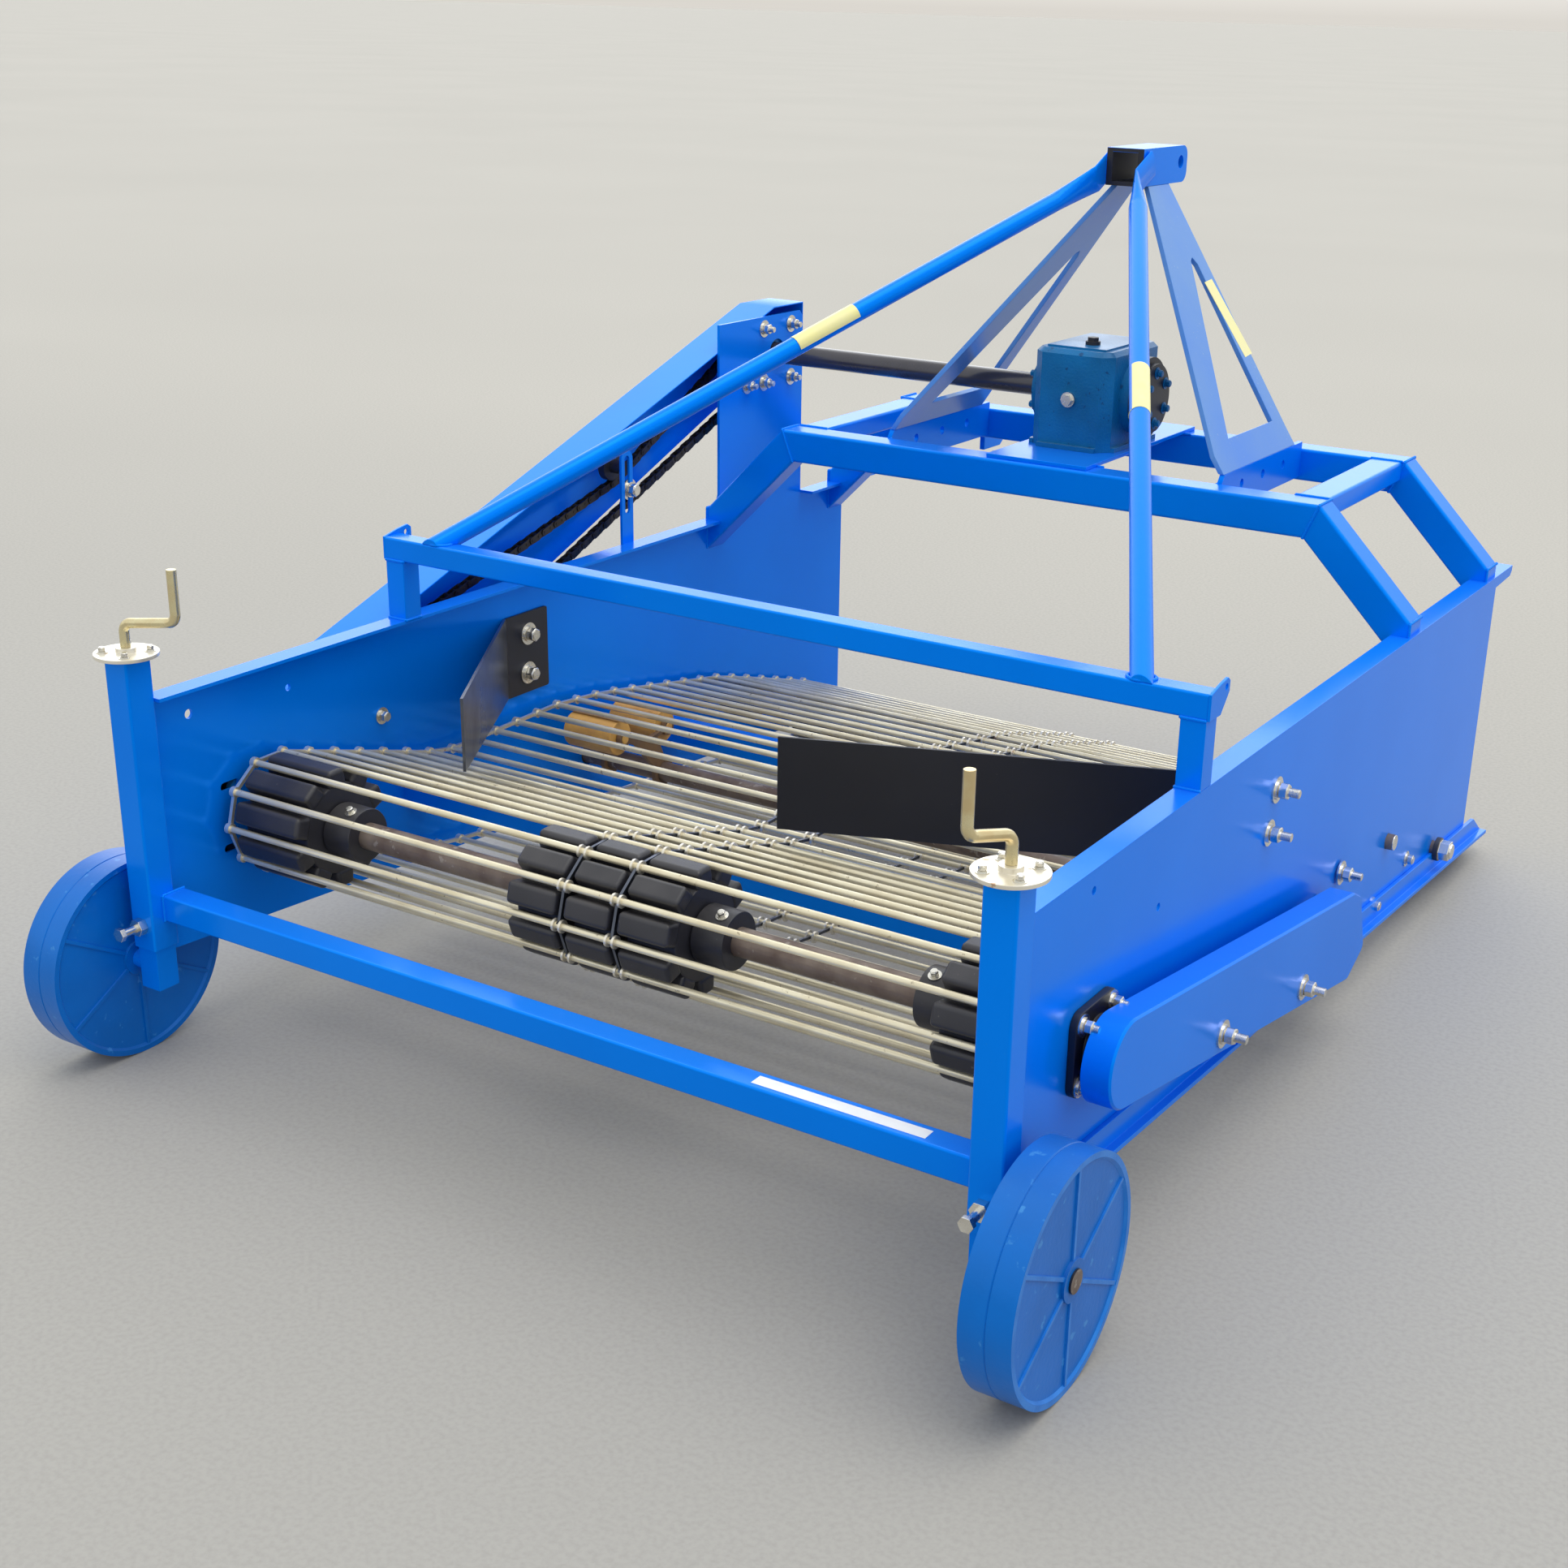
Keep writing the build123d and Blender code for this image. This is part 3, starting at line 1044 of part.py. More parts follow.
with BuildPart() as chain_guard:
    # outer wall
    with BuildSketch(side_plane(COVER_OUTER_X)):
        top, bend, front, radius = cover_shell(COVER_T)
        with BuildLine():
            Line(top, bend)
            Line(bend, (front, bend[1]))
            Line((front, bend[1]), (front, bend[1] - COVER_DEPTH))
            Line((front, bend[1] - COVER_DEPTH), (bend[0] + COVER_UNDER, bend[1] - COVER_DEPTH))
            Line((bend[0] + COVER_UNDER, bend[1] - COVER_DEPTH), (WEB_DRIVE_Y, WEB_DRIVE_Z - radius))
            CenterArc(
                (WEB_DRIVE_Y, WEB_DRIVE_Z), radius, degrees(cover_angle) + 90,
                180 - degrees(cover_angle),
            )
        make_face()
    extrude(amount=COVER_T)
    # rim from the tower's front, over the top and round the lower sprocket
    with BuildSketch(side_plane(COVER_OUTER_X)):
        outer_top, outer_bend, outer_front, outer_r = cover_shell(COVER_T)
        inner_top, inner_bend, inner_front, inner_r = cover_shell(0)
        with BuildLine():
            Line((outer_front, outer_bend[1] - COVER_DEPTH), (outer_front, outer_bend[1]))
            Line((outer_front, outer_bend[1]), outer_bend)
            Line(outer_bend, outer_top)
            CenterArc(
                (WEB_DRIVE_Y, WEB_DRIVE_Z), outer_r, degrees(cover_angle) + 90,
                180 - degrees(cover_angle),
            )
            Line((WEB_DRIVE_Y, WEB_DRIVE_Z - outer_r), (WEB_DRIVE_Y, WEB_DRIVE_Z - inner_r))
            CenterArc(
                (WEB_DRIVE_Y, WEB_DRIVE_Z), inner_r, 270,
                -(180 - degrees(cover_angle)),
            )
            Line(inner_top, inner_bend)
            Line(inner_bend, (inner_front, inner_bend[1]))
            Line((inner_front, inner_bend[1]), (inner_front, outer_bend[1] - COVER_DEPTH))
            Line((inner_front, outer_bend[1] - COVER_DEPTH), (outer_front, outer_bend[1] - COVER_DEPTH))
        make_face()
    extrude(amount=-HALF_WIDTH - COVER_OUTER_X)
keep(chain_guard, "chain_guard")

# ------------------------------------------------------------------------ right chain case
with BuildPart() as chain_case:
    with BuildSketch(side_plane(CASE_BACK_X)):
        for y, z, radius in CASE_CORNERS:
            with Locations((y, z)):
                Circle(radius)
        make_hull()
    extrude(amount=CASE_DEPTH)
    chamfer(chain_case.faces().sort_by(Axis.X)[-1].edges(), CASE_EDGE)
    # spacers to the plate round the case's two bolts
    with BuildSketch(side_plane(HALF_WIDTH)):
        with Locations(*CASE_BOLTS):
            Circle(CASE_SPACER_R)
    extrude(amount=CASE_GAP)
keep(chain_case, "chain_case")

# ------------------------------------------------------------------------------ web drive
with BuildPart() as web_drive_shaft:
    with BuildSketch(side_plane(sprocket_x - WEB_SHAFT_STUB)):
        with Locations((WEB_DRIVE_Y, WEB_DRIVE_Z)):
            Circle(WEB_SHAFT_R)
    extrude(amount=CASE_BACK_X - (sprocket_x - WEB_SHAFT_STUB))
keep(web_drive_shaft, "web_drive_shaft")

link_line_x = WEB_HALF_W - LINK_W / 2
LINK_X = (-link_line_x, -MIDDLE_LINK_X, MIDDLE_LINK_X, link_line_x)
outer_far = WEB_HALF_W - LINK_W - SPROCKET_GAP
outer_near = outer_far - OUTER_SPROCKET_W
link_side = LINK_W / 2 + LINK_GAP
inner_near = MIDDLE_LINK_X + link_side
inner_far = inner_near + INNER_SPROCKET_W
sprocket_table = (             # x from, x to, x where the hub begins and ends
    (-outer_far, -outer_near, -outer_near, SPROCKET_HUB_W - outer_near),
    (-inner_far, -inner_near, 0, 0),
    (link_side - MIDDLE_LINK_X, MIDDLE_LINK_X - link_side, 0, 0),
    (inner_near, inner_far, inner_far, inner_far + SPROCKET_HUB_W),
    (outer_near, outer_far, outer_near, outer_near - SPROCKET_HUB_W),
)
body_r = WEB_R - ROD_R - SEAT
lobe_r = WEB_R + LOBE_RISE
lobe_half = WEB_PITCH / 2 - ROD_R - LOBE_GAP
tooth_step = 360 / SPROCKET_TEETH
rod_phase = degrees(atan2(rod_places[0][1] - WEB_DRIVE_Z, rod_places[0][0] - WEB_DRIVE_Y))
with BuildPart() as web_sprockets:
    for x_from, x_to, hub_from, hub_to in sprocket_table:
        with BuildSketch(side_plane(x_from)):
            with Locations((WEB_DRIVE_Y, WEB_DRIVE_Z)):
                Circle(body_r)
                with PolarLocations(0, SPROCKET_TEETH, start_angle=rod_phase + tooth_step / 2):
                    # a tooth with chamfered corners, which stands between two rods
                    Polygon(
                        (body_r - LOBE_CHAMFER, -lobe_half),
                        (lobe_r - LOBE_CHAMFER, -lobe_half),
                        (lobe_r, LOBE_CHAMFER - lobe_half),
                        (lobe_r, lobe_half - LOBE_CHAMFER),
                        (lobe_r - LOBE_CHAMFER, lobe_half),
                        (body_r - LOBE_CHAMFER, lobe_half),
                        align=None,
                    )
                Circle(WEB_SHAFT_R + SEAT, mode=Mode.SUBTRACT)
        extrude(amount=x_to - x_from)
        if hub_to != hub_from:
            with BuildSketch(side_plane(hub_from)):
                with Locations((WEB_DRIVE_Y, WEB_DRIVE_Z)):
                    Circle(SPROCKET_HUB_R)
                    Circle(WEB_SHAFT_R + SEAT, mode=Mode.SUBTRACT)
            extrude(amount=hub_to - hub_from)
keep(web_sprockets, "web_sprockets")

# ------------------------------------------------------------------------------- rod web
rod_solids = []
link_length = WEB_PITCH - ROD_R - SEAT
with BuildPart() as one_rod:
    with BuildSketch(side_plane(-WEB_HALF_W)):
        RegularPolygon(ROD_R, 6)
    extrude(amount=2 * WEB_HALF_W)
    for link_x in LINK_X:
        with BuildSketch(side_plane(link_x - LINK_W / 2)):
            with Locations((link_length / 2, 0)):
                Rectangle(link_length, LINK_H)
        extrude(amount=LINK_W)
for index, (y, z) in enumerate(rod_places):
    ahead_y, ahead_z = rod_places[(index + 1) % len(rod_places)]
    turn = degrees(atan2(ahead_z - z, ahead_y - y))
    rod_solids.append(one_rod.part.rotate(Axis.X, turn).translate((0, y, z)).solid())
with BuildPart() as conveyor_web:
    add(rod_solids[0])
conveyor_web.part = Compound(children=rod_solids)
keep(conveyor_web, "conveyor_web")


roller_far = WEB_HALF_W - ROLLER_END_GAP
roller_spans = (
    (-roller_far, ROLLER_W - roller_far),
    (-2 * ROLLER_W, -ROLLER_W),
    (ROLLER_W, 2 * ROLLER_W),
    (roller_far - ROLLER_W, roller_far),
)
nut_from = HALF_WIDTH + RUNNER_T
nut_to = nut_from + COLLAR_T + SHAFT_NUT_T + SHAFT_END
support_half = HALF_WIDTH + 2 * RUNNER_T
front_centre = (front_roller_y, FRONT_ROLLER_Z)
roller_table = (            # name, centre, shaft radius, half length, roller radius, spans
    ("front_rollers", front_centre, FRONT_SHAFT_R, nut_to, FRONT_ROLLER_R, roller_spans),
    ("support_rollers", SUPPORT_ROLLER, FRONT_SHAFT_R, support_half, ROLLER_R, roller_spans),
    ("shaker_shaft", SHAKER_SHAFT, SHAKER_SHAFT_R, CASE_BACK_X, SHAKER_SHAFT_R, ()),
)
for name, centre, shaft_r, shaft_half, roller_r, spans in roller_table:
    with BuildPart() as roller_set:
        with BuildSketch(side_plane(-shaft_half)):
            with Locations(centre):
                Circle(shaft_r)
        extrude(amount=2 * shaft_half)
        for x_from, x_to in spans:
            with BuildSketch(side_plane(x_from)):
                with Locations(centre):
                    Circle(roller_r)
            extrude(amount=x_to - x_from)
        if name == "front_rollers":
            for side in (-1, 1):
                with BuildSketch(side_plane(side * nut_from)):
                    with Locations(centre):
                        Circle(COLLAR_R)
                extrude(amount=side * COLLAR_T)
                with BuildSketch(side_plane(side * (nut_from + COLLAR_T))):
                    with Locations(centre):
                        RegularPolygon(SHAFT_NUT_R, 6)
                extrude(amount=side * SHAFT_NUT_T)
    keep(roller_set, name)

# shaker: two rollers on each side between the cheeks of a rocker that swings on the shaft
shaker_far = roller_far - ROCKER_T - ROCKER_GAP
shaker_spans = (
    (-shaker_far, SHAKER_ROLLER_W - shaker_far),
    (shaker_far - SHAKER_ROLLER_W, shaker_far),
)
rocker_middle_y = (SHAKER_ROLLERS[0][0] + SHAKER_ROLLERS[1][0]) / 2
rocker_z = (SHAKER_ROLLERS[0][1] + SHAKER_ROLLERS[1][1]) / 2 - ROLLER_R / 2
with BuildPart() as shaker_rockers:
    for x_from, x_to in shaker_spans:
        for cheek_x in (x_from - ROCKER_GAP - ROCKER_T, x_to + ROCKER_GAP):
            with BuildSketch(side_plane(cheek_x)):
                for y, z in (*SHAKER_ROLLERS, SHAKER_SHAFT):
                    with BuildLine():
                        Polyline(
                            (rocker_middle_y - ROCKER_H, rocker_z),
                            (rocker_middle_y + ROCKER_H, rocker_z),
                            (y + ROCKER_H / 2, z),
                            (y - ROCKER_H / 2, z),
                            close=True,
                        )
                    make_face()
                for y, z in SHAKER_ROLLERS:
                    with Locations((y, z)):
                        Circle(ROCKER_H / 2)
                        Circle(SHAKER_PIN_R + SEAT, mode=Mode.SUBTRACT)
                with Locations(SHAKER_SHAFT):
                    Circle(SHAKER_SHAFT_R + ROCKER_T)
                    Circle(SHAKER_SHAFT_R + SEAT, mode=Mode.SUBTRACT)
            extrude(amount=ROCKER_T)
keep(shaker_rockers, "shaker_rockers")

with BuildPart() as shaker_rollers:
    pin_reach = ROCKER_GAP + ROCKER_T + ROCKER_GAP
    for centre in SHAKER_ROLLERS:
        for x_from, x_to in shaker_spans:
            with BuildSketch(side_plane(x_from - pin_reach)):
                with Locations(centre):
                    Circle(SHAKER_PIN_R)
            extrude(amount=x_to - x_from + 2 * pin_reach)
            with BuildSketch(side_plane(x_from)):
                with Locations(centre):
                    Circle(ROLLER_R)
            extrude(amount=x_to - x_from)
keep(shaker_rollers, "shaker_rollers")

# --------------------------------------------------------------------------------- share
share_run = Vector(0, SHARE_FRONT[0] - SHARE_REAR[0], SHARE_FRONT[1] - SHARE_REAR[1])
share_plane = Plane(
    origin=(0, *SHARE_REAR),
    x_dir=(1, 0, 0),
    z_dir=Vector(1, 0, 0).cross(share_run),
)
tooth_w = 2 * INNER_X / SHARE_POINTS
with BuildPart() as digging_share:
    with BuildSketch(share_plane):
        with BuildLine():
            teeth = []
            for tooth in range(SHARE_POINTS):
                left = INNER_X - tooth * tooth_w
                teeth.append((left, share_run.length - SHARE_POINT_DEPTH))
                teeth.append((left - tooth_w / 2, share_run.length))
            Polyline((-INNER_X, 0), (INNER_X, 0), *teeth,
                     (-INNER_X, share_run.length - SHARE_POINT_DEPTH), close=True)
        make_face()
    extrude(amount=-SHARE_T)
keep(digging_share, "digging_share")

share_slope = (SHARE_FRONT[1] - SHARE_REAR[1]) / (SHARE_FRONT[0] - SHARE_REAR[0])
share_drop = SHARE_T * hypot(1, share_slope)


def under_share(y):
    """Height of the share's underside."""
    return SHARE_REAR[1] + share_slope * (y - SHARE_REAR[0]) - share_drop


with BuildPart() as share_beam:
    with BuildSketch(side_plane(-INNER_X)):
        with BuildLine():
            Polyline(
                (SHARE_BEAM_Y, under_share(SHARE_BEAM_Y) - SHARE_BEAM_H),
                (SHARE_BEAM_Y, under_share(SHARE_BEAM_Y)),
                (SHARE_BEAM_Y + SHARE_BEAM_D, under_share(SHARE_BEAM_Y + SHARE_BEAM_D)),
                (SHARE_BEAM_Y + SHARE_BEAM_D, under_share(SHARE_BEAM_Y) - SHARE_BEAM_H),
                close=True,
            )
        make_face()
    extrude(amount=2 * INNER_X)
keep(share_beam, "share_beam")

# ------------------------------------------------------------------------------ deflectors
BLADE_FOLD_Y = 884.0
BLADE_FLANGE_W = 124.0
BLADE_Z = (395.0, 556.0)
BLADE_LENGTH = 513.0
BLADE_TURN = 32.3           # degrees inwards from the side plate
BLADE_RISE = (35.0, 5.0)    # the free end's lower and upper corners stand above the fold's
BLADE_T = 5.0
with BuildPart() as separator_blade:
    with BuildSketch(side_plane(-INNER_X)):
        with Locations((BLADE_FOLD_Y + BLADE_FLANGE_W / 2, sum(BLADE_Z) / 2)):
            RectangleRounded(BLADE_FLANGE_W, BLADE_Z[1] - BLADE_Z[0], BLADE_T)
    extrude(amount=BLADE_T)
    inwards, back = sin(radians(BLADE_TURN)), -cos(radians(BLADE_TURN))
    fold = Plane(origin=(-INNER_X, BLADE_FOLD_Y, 0), x_dir=(inwards, back, 0), z_dir=(back, -inwards, 0))
    with BuildSketch(fold):
        with BuildLine():
            Polyline(
                (0, BLADE_Z[0]),
                (0, BLADE_Z[1]),
                (BLADE_LENGTH, BLADE_Z[1] + BLADE_RISE[1]),
                (BLADE_LENGTH, BLADE_Z[0] + BLADE_RISE[0]),
                close=True,
            )
        make_face()
    extrude(amount=-BLADE_T)
    split(bisect_by=side_plane(-INNER_X), keep=Keep.TOP)
keep(separator_blade, "separator_blade")

DEFLECTOR_TIP = (48.0, 595.0)
DEFLECTOR_HEEL = (INNER_X, 870.0)
DEFLECTOR_Z = 403.0
DEFLECTOR_H = 160.0
DEFLECTOR_T = 6.0
DEFLECTOR_OVERRUN = 30.0    # beyond the plate before it is cut
DEFLECTOR_FLANGE_W = 84.0
DEFLECTOR_FLANGE_AHEAD = 38.0   # its middle, in front of the heel
deflector_run = Vector(DEFLECTOR_HEEL[0] - DEFLECTOR_TIP[0], DEFLECTOR_HEEL[1] - DEFLECTOR_TIP[1], 0)
with BuildPart() as deflector:
    with BuildSketch(Plane(origin=(*DEFLECTOR_TIP, DEFLECTOR_Z), x_dir=deflector_run, z_dir=(0, 0, 1))):
        with Locations(((deflector_run.length + DEFLECTOR_OVERRUN) / 2, 0)):
            Rectangle(deflector_run.length + DEFLECTOR_OVERRUN, DEFLECTOR_T)
    extrude(amount=DEFLECTOR_H)
    split(bisect_by=side_plane(INNER_X), keep=Keep.BOTTOM)
    with BuildSketch(side_plane(INNER_X - DEFLECTOR_T)):
        with Locations((DEFLECTOR_HEEL[1] + DEFLECTOR_FLANGE_AHEAD, DEFLECTOR_Z + DEFLECTOR_H / 2)):
            Rectangle(DEFLECTOR_FLANGE_W, DEFLECTOR_H)
    extrude(amount=DEFLECTOR_T)
keep(deflector, "deflector")
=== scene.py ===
"""Finishes and fittings of a mounted two-row potato digger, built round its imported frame.

Everything is in metres in the frame's own axes: +X to the machine's right, +Y forward, +Z up.
Places are measured from the frame's nodes; y values given as `back` are from the wheel axles.
"""

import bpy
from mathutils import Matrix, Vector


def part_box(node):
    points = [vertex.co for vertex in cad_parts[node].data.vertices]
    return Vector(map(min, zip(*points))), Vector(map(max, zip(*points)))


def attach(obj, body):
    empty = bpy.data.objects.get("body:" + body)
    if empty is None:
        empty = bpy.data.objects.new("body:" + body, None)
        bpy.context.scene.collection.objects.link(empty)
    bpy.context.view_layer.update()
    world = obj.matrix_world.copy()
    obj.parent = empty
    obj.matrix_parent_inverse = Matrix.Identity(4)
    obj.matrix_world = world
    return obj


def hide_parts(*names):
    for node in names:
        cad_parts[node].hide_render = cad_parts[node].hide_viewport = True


bl_info = {
    "name": "Potato Digger",
    "version": (1, 0, 0),
    "blender": (4, 5, 0),
    "location": "3D View > Sidebar > Digger",
    "description": "Paint, rod web, chain, fasteners and stage of a mounted potato digger",
    "category": "Object",
}

from math import atan2, cos, hypot, pi, radians, sin, sqrt

import bpy
from bpy.props import FloatProperty, FloatVectorProperty, PointerProperty
from bpy.types import Operator, Panel, PropertyGroup
from mathutils import Matrix, Vector

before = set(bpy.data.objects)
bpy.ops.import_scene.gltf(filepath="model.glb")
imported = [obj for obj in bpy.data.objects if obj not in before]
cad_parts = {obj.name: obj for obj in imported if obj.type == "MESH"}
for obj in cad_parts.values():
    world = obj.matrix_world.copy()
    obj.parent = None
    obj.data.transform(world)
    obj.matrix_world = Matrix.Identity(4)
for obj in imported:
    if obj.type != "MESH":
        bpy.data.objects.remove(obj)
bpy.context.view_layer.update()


def middle(node):
    """Centre of a node's box."""
    low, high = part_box(node)
    return (low + high) / 2


AXLE_Y = middle("wheel_right").y
PLATE_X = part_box("side_plate_right")[1].x
LEG_INSET = 0.024           # a leg tube's inner side lies this far inside its plate's
PLATE_INNER_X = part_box("leg_tube_right")[0].x + LEG_INSET
WEB_SHAFT = (0.250, 0.370)      # back and z of the web's drive shaft
CROSS_SHAFT = (1.826, 0.949)    # and of the shaft that leaves the gearbox
BRACE_FOOT = (0.668, 0.604)     # x and back of a brace's lower end
RUBBER_HUB_R = 0.046            # hubs of the rubber web sprockets

MERGE_GAP = 0.00002         # vertices closer than this are one
FLAT_ANGLE = 0.4            # degrees: faces that meet flatter than this are one
ROUND_ANGLE = 40            # degrees: edges sharper than this are rounded
SMOOTH_ANGLE = 32           # degrees: edges flatter than this are shaded smooth
TUBE_RUN = 0.12             # a square tube's long edges are longer than this


def at(x, back, z):
    """A point given from the wheel axles' line on the floor."""
    return Vector((x, AXLE_Y + back, z))


# ------------------------------------------------------------------------ modelling helpers
def clear():
    """Select nothing."""
    bpy.ops.object.select_all(action="DESELECT")


def pick(*objects):
    """Select only these objects and make the first one active."""
    clear()
    for obj in objects:
        obj.select_set(True)
    bpy.context.view_layer.objects.active = objects[0]


def edit_all(obj):
    """Open a piece in edit mode with all of it selected."""
    pick(obj)
    bpy.ops.object.mode_set(mode="EDIT")
    bpy.ops.mesh.select_all(action="SELECT")


def done():
    """Leave edit mode, with vertex selection set for the next piece."""
    bpy.ops.mesh.select_mode(type="VERT")
    bpy.ops.object.mode_set(mode="OBJECT")


def edit_chosen(obj, kind, test):
    """Open a piece in edit mode with only the edges or faces that pass a test selected."""
    for items in (obj.data.vertices, obj.data.edges, obj.data.polygons):
        for item in items:
            item.select = False
    for item in obj.data.edges if kind == "EDGE" else obj.data.polygons:
        item.select = test(item)
    bpy.context.tool_settings.mesh_select_mode = (False, kind == "EDGE", kind == "FACE")
    pick(obj)
    bpy.ops.object.mode_set(mode="EDIT")


def settle(obj):
    """Put a piece's place, turn and size into its mesh."""
    pick(obj)
    bpy.ops.object.transform_apply(location=True, rotation=True, scale=True)


def select_verts(obj, test):
    """In object mode: leave only the vertices, edges and faces that pass a test selected."""
    for vertex in obj.data.vertices:
        vertex.select = test(vertex.co)
    chosen = {v.index for v in obj.data.vertices if v.select}
    for edge in obj.data.edges:
        edge.select = all(i in chosen for i in edge.vertices)
    for face in obj.data.polygons:
        face.select = all(i in chosen for i in face.vertices)


def modify(obj, kind, **values):
    """Add a modifier, set it and apply it."""
    pick(obj)
    modifier = obj.modifiers.new(kind.lower(), kind)
    for key, value in values.items():
        setattr(modifier, key, value)
    bpy.ops.object.modifier_apply(modifier=modifier.name)


def round_edges(obj, width, segments=2):
    """Round the edges and keep the flats between them shaded flat."""
    modify(obj, "BEVEL", width=width, segments=segments, limit_method="ANGLE",
           angle_limit=radians(ROUND_ANGLE), use_clamp_overlap=True)
    smooth(obj, SMOOTH_ANGLE)
    modify(obj, "WEIGHTED_NORMAL", keep_sharp=True, weight=100)


def smooth(obj, angle):
    """Shade smooth across edges that turn less than an angle in degrees."""
    pick(obj)
    bpy.ops.object.shade_smooth_by_angle(angle=radians(angle))


def cylinder(name, radius, start, end, sides=24):
    """A round bar from one point to another."""
    start, end = Vector(start), Vector(end)
    run = end - start
    clear()
    bpy.ops.mesh.primitive_cylinder_add(
        vertices=sides, radius=radius, depth=run.length, location=(start + end) / 2,
        rotation=run.to_track_quat("Z", "Y").to_euler())
    obj = bpy.context.object
    obj.name = name
    settle(obj)
    return obj


def block(name, low, high):
    """A box between two corners."""
    low, high = Vector(low), Vector(high)
    clear()
    bpy.ops.mesh.primitive_cube_add(size=1, location=(low + high) / 2)
    obj = bpy.context.object
    obj.scale = high - low
    obj.name = name
    settle(obj)
    return obj


def join(name, objects):
    """Make several pieces one, under a new name."""
    pick(*objects)
    bpy.ops.object.join()
    obj = bpy.context.object
    obj.name = name
    obj.data.name = name
    return obj


def spread(pattern, places, name):
    """Copies of a pattern piece at each place, as one piece. The pattern itself goes."""
    copies = []
    for place in places:
        copy = bpy.data.objects.new(name, pattern.data.copy())
        bpy.context.scene.collection.objects.link(copy)
        copy.matrix_world = place
        copies.append(copy)
    bpy.data.objects.remove(pattern)
    obj = join(name, copies)
    settle(obj)
    return obj


def facing(point, direction, turn=0.0):
    """A place whose local +Z points in a direction."""
    quat = Vector(direction).to_track_quat("Z", "Y")
    return Matrix.Translation(point) @ quat.to_matrix().to_4x4() @ Matrix.Rotation(turn, 4, "Z")


def merged_copy(node, name):
    """A copy of a node's mesh with its loose triangles joined."""
    obj = bpy.data.objects.new(name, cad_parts[node].data.copy())
    bpy.context.scene.collection.objects.link(obj)
    edit_all(obj)
    bpy.ops.mesh.remove_doubles(threshold=MERGE_GAP)
    done()
    return obj


def loose_parts(node):
    """The separate solids of a node, as objects to measure and then delete."""
    obj = merged_copy(node, "measure")
    edit_all(obj)
    bpy.ops.mesh.separate(type="LOOSE")
    done()
    return list(bpy.context.selected_objects)


def clad(obj, finish, body="root", node=None):
    """Give a piece its finish and its body, and hide the node it stands for."""
    obj.data.materials.clear()
    obj.data.materials.append(finish_named(finish))
    if node:
        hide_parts(*([node] if isinstance(node, str) else node))
    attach(obj, body)
    return obj


def flat_copy(node):
    """A copy of a node's mesh whose flat sides are whole faces."""
    obj = merged_copy(node, node + ".finished")
    edit_all(obj)
    bpy.ops.mesh.dissolve_limited(angle_limit=radians(FLAT_ANGLE))
    done()
    return obj


def dress(node, finish, edge, body="root"):
    """Stand a copy with rounded edges in a node's place."""
    obj = flat_copy(node)
    round_edges(obj, edge)
    return clad(obj, finish, body, node)


def touch_up(obj, finish, test):
    """Give the faces whose middles pass a test another finish."""
    obj.data.materials.append(finish_named(finish))
    for face in obj.data.polygons:
        if test(face.center):
            face.material_index = len(obj.data.materials) - 1


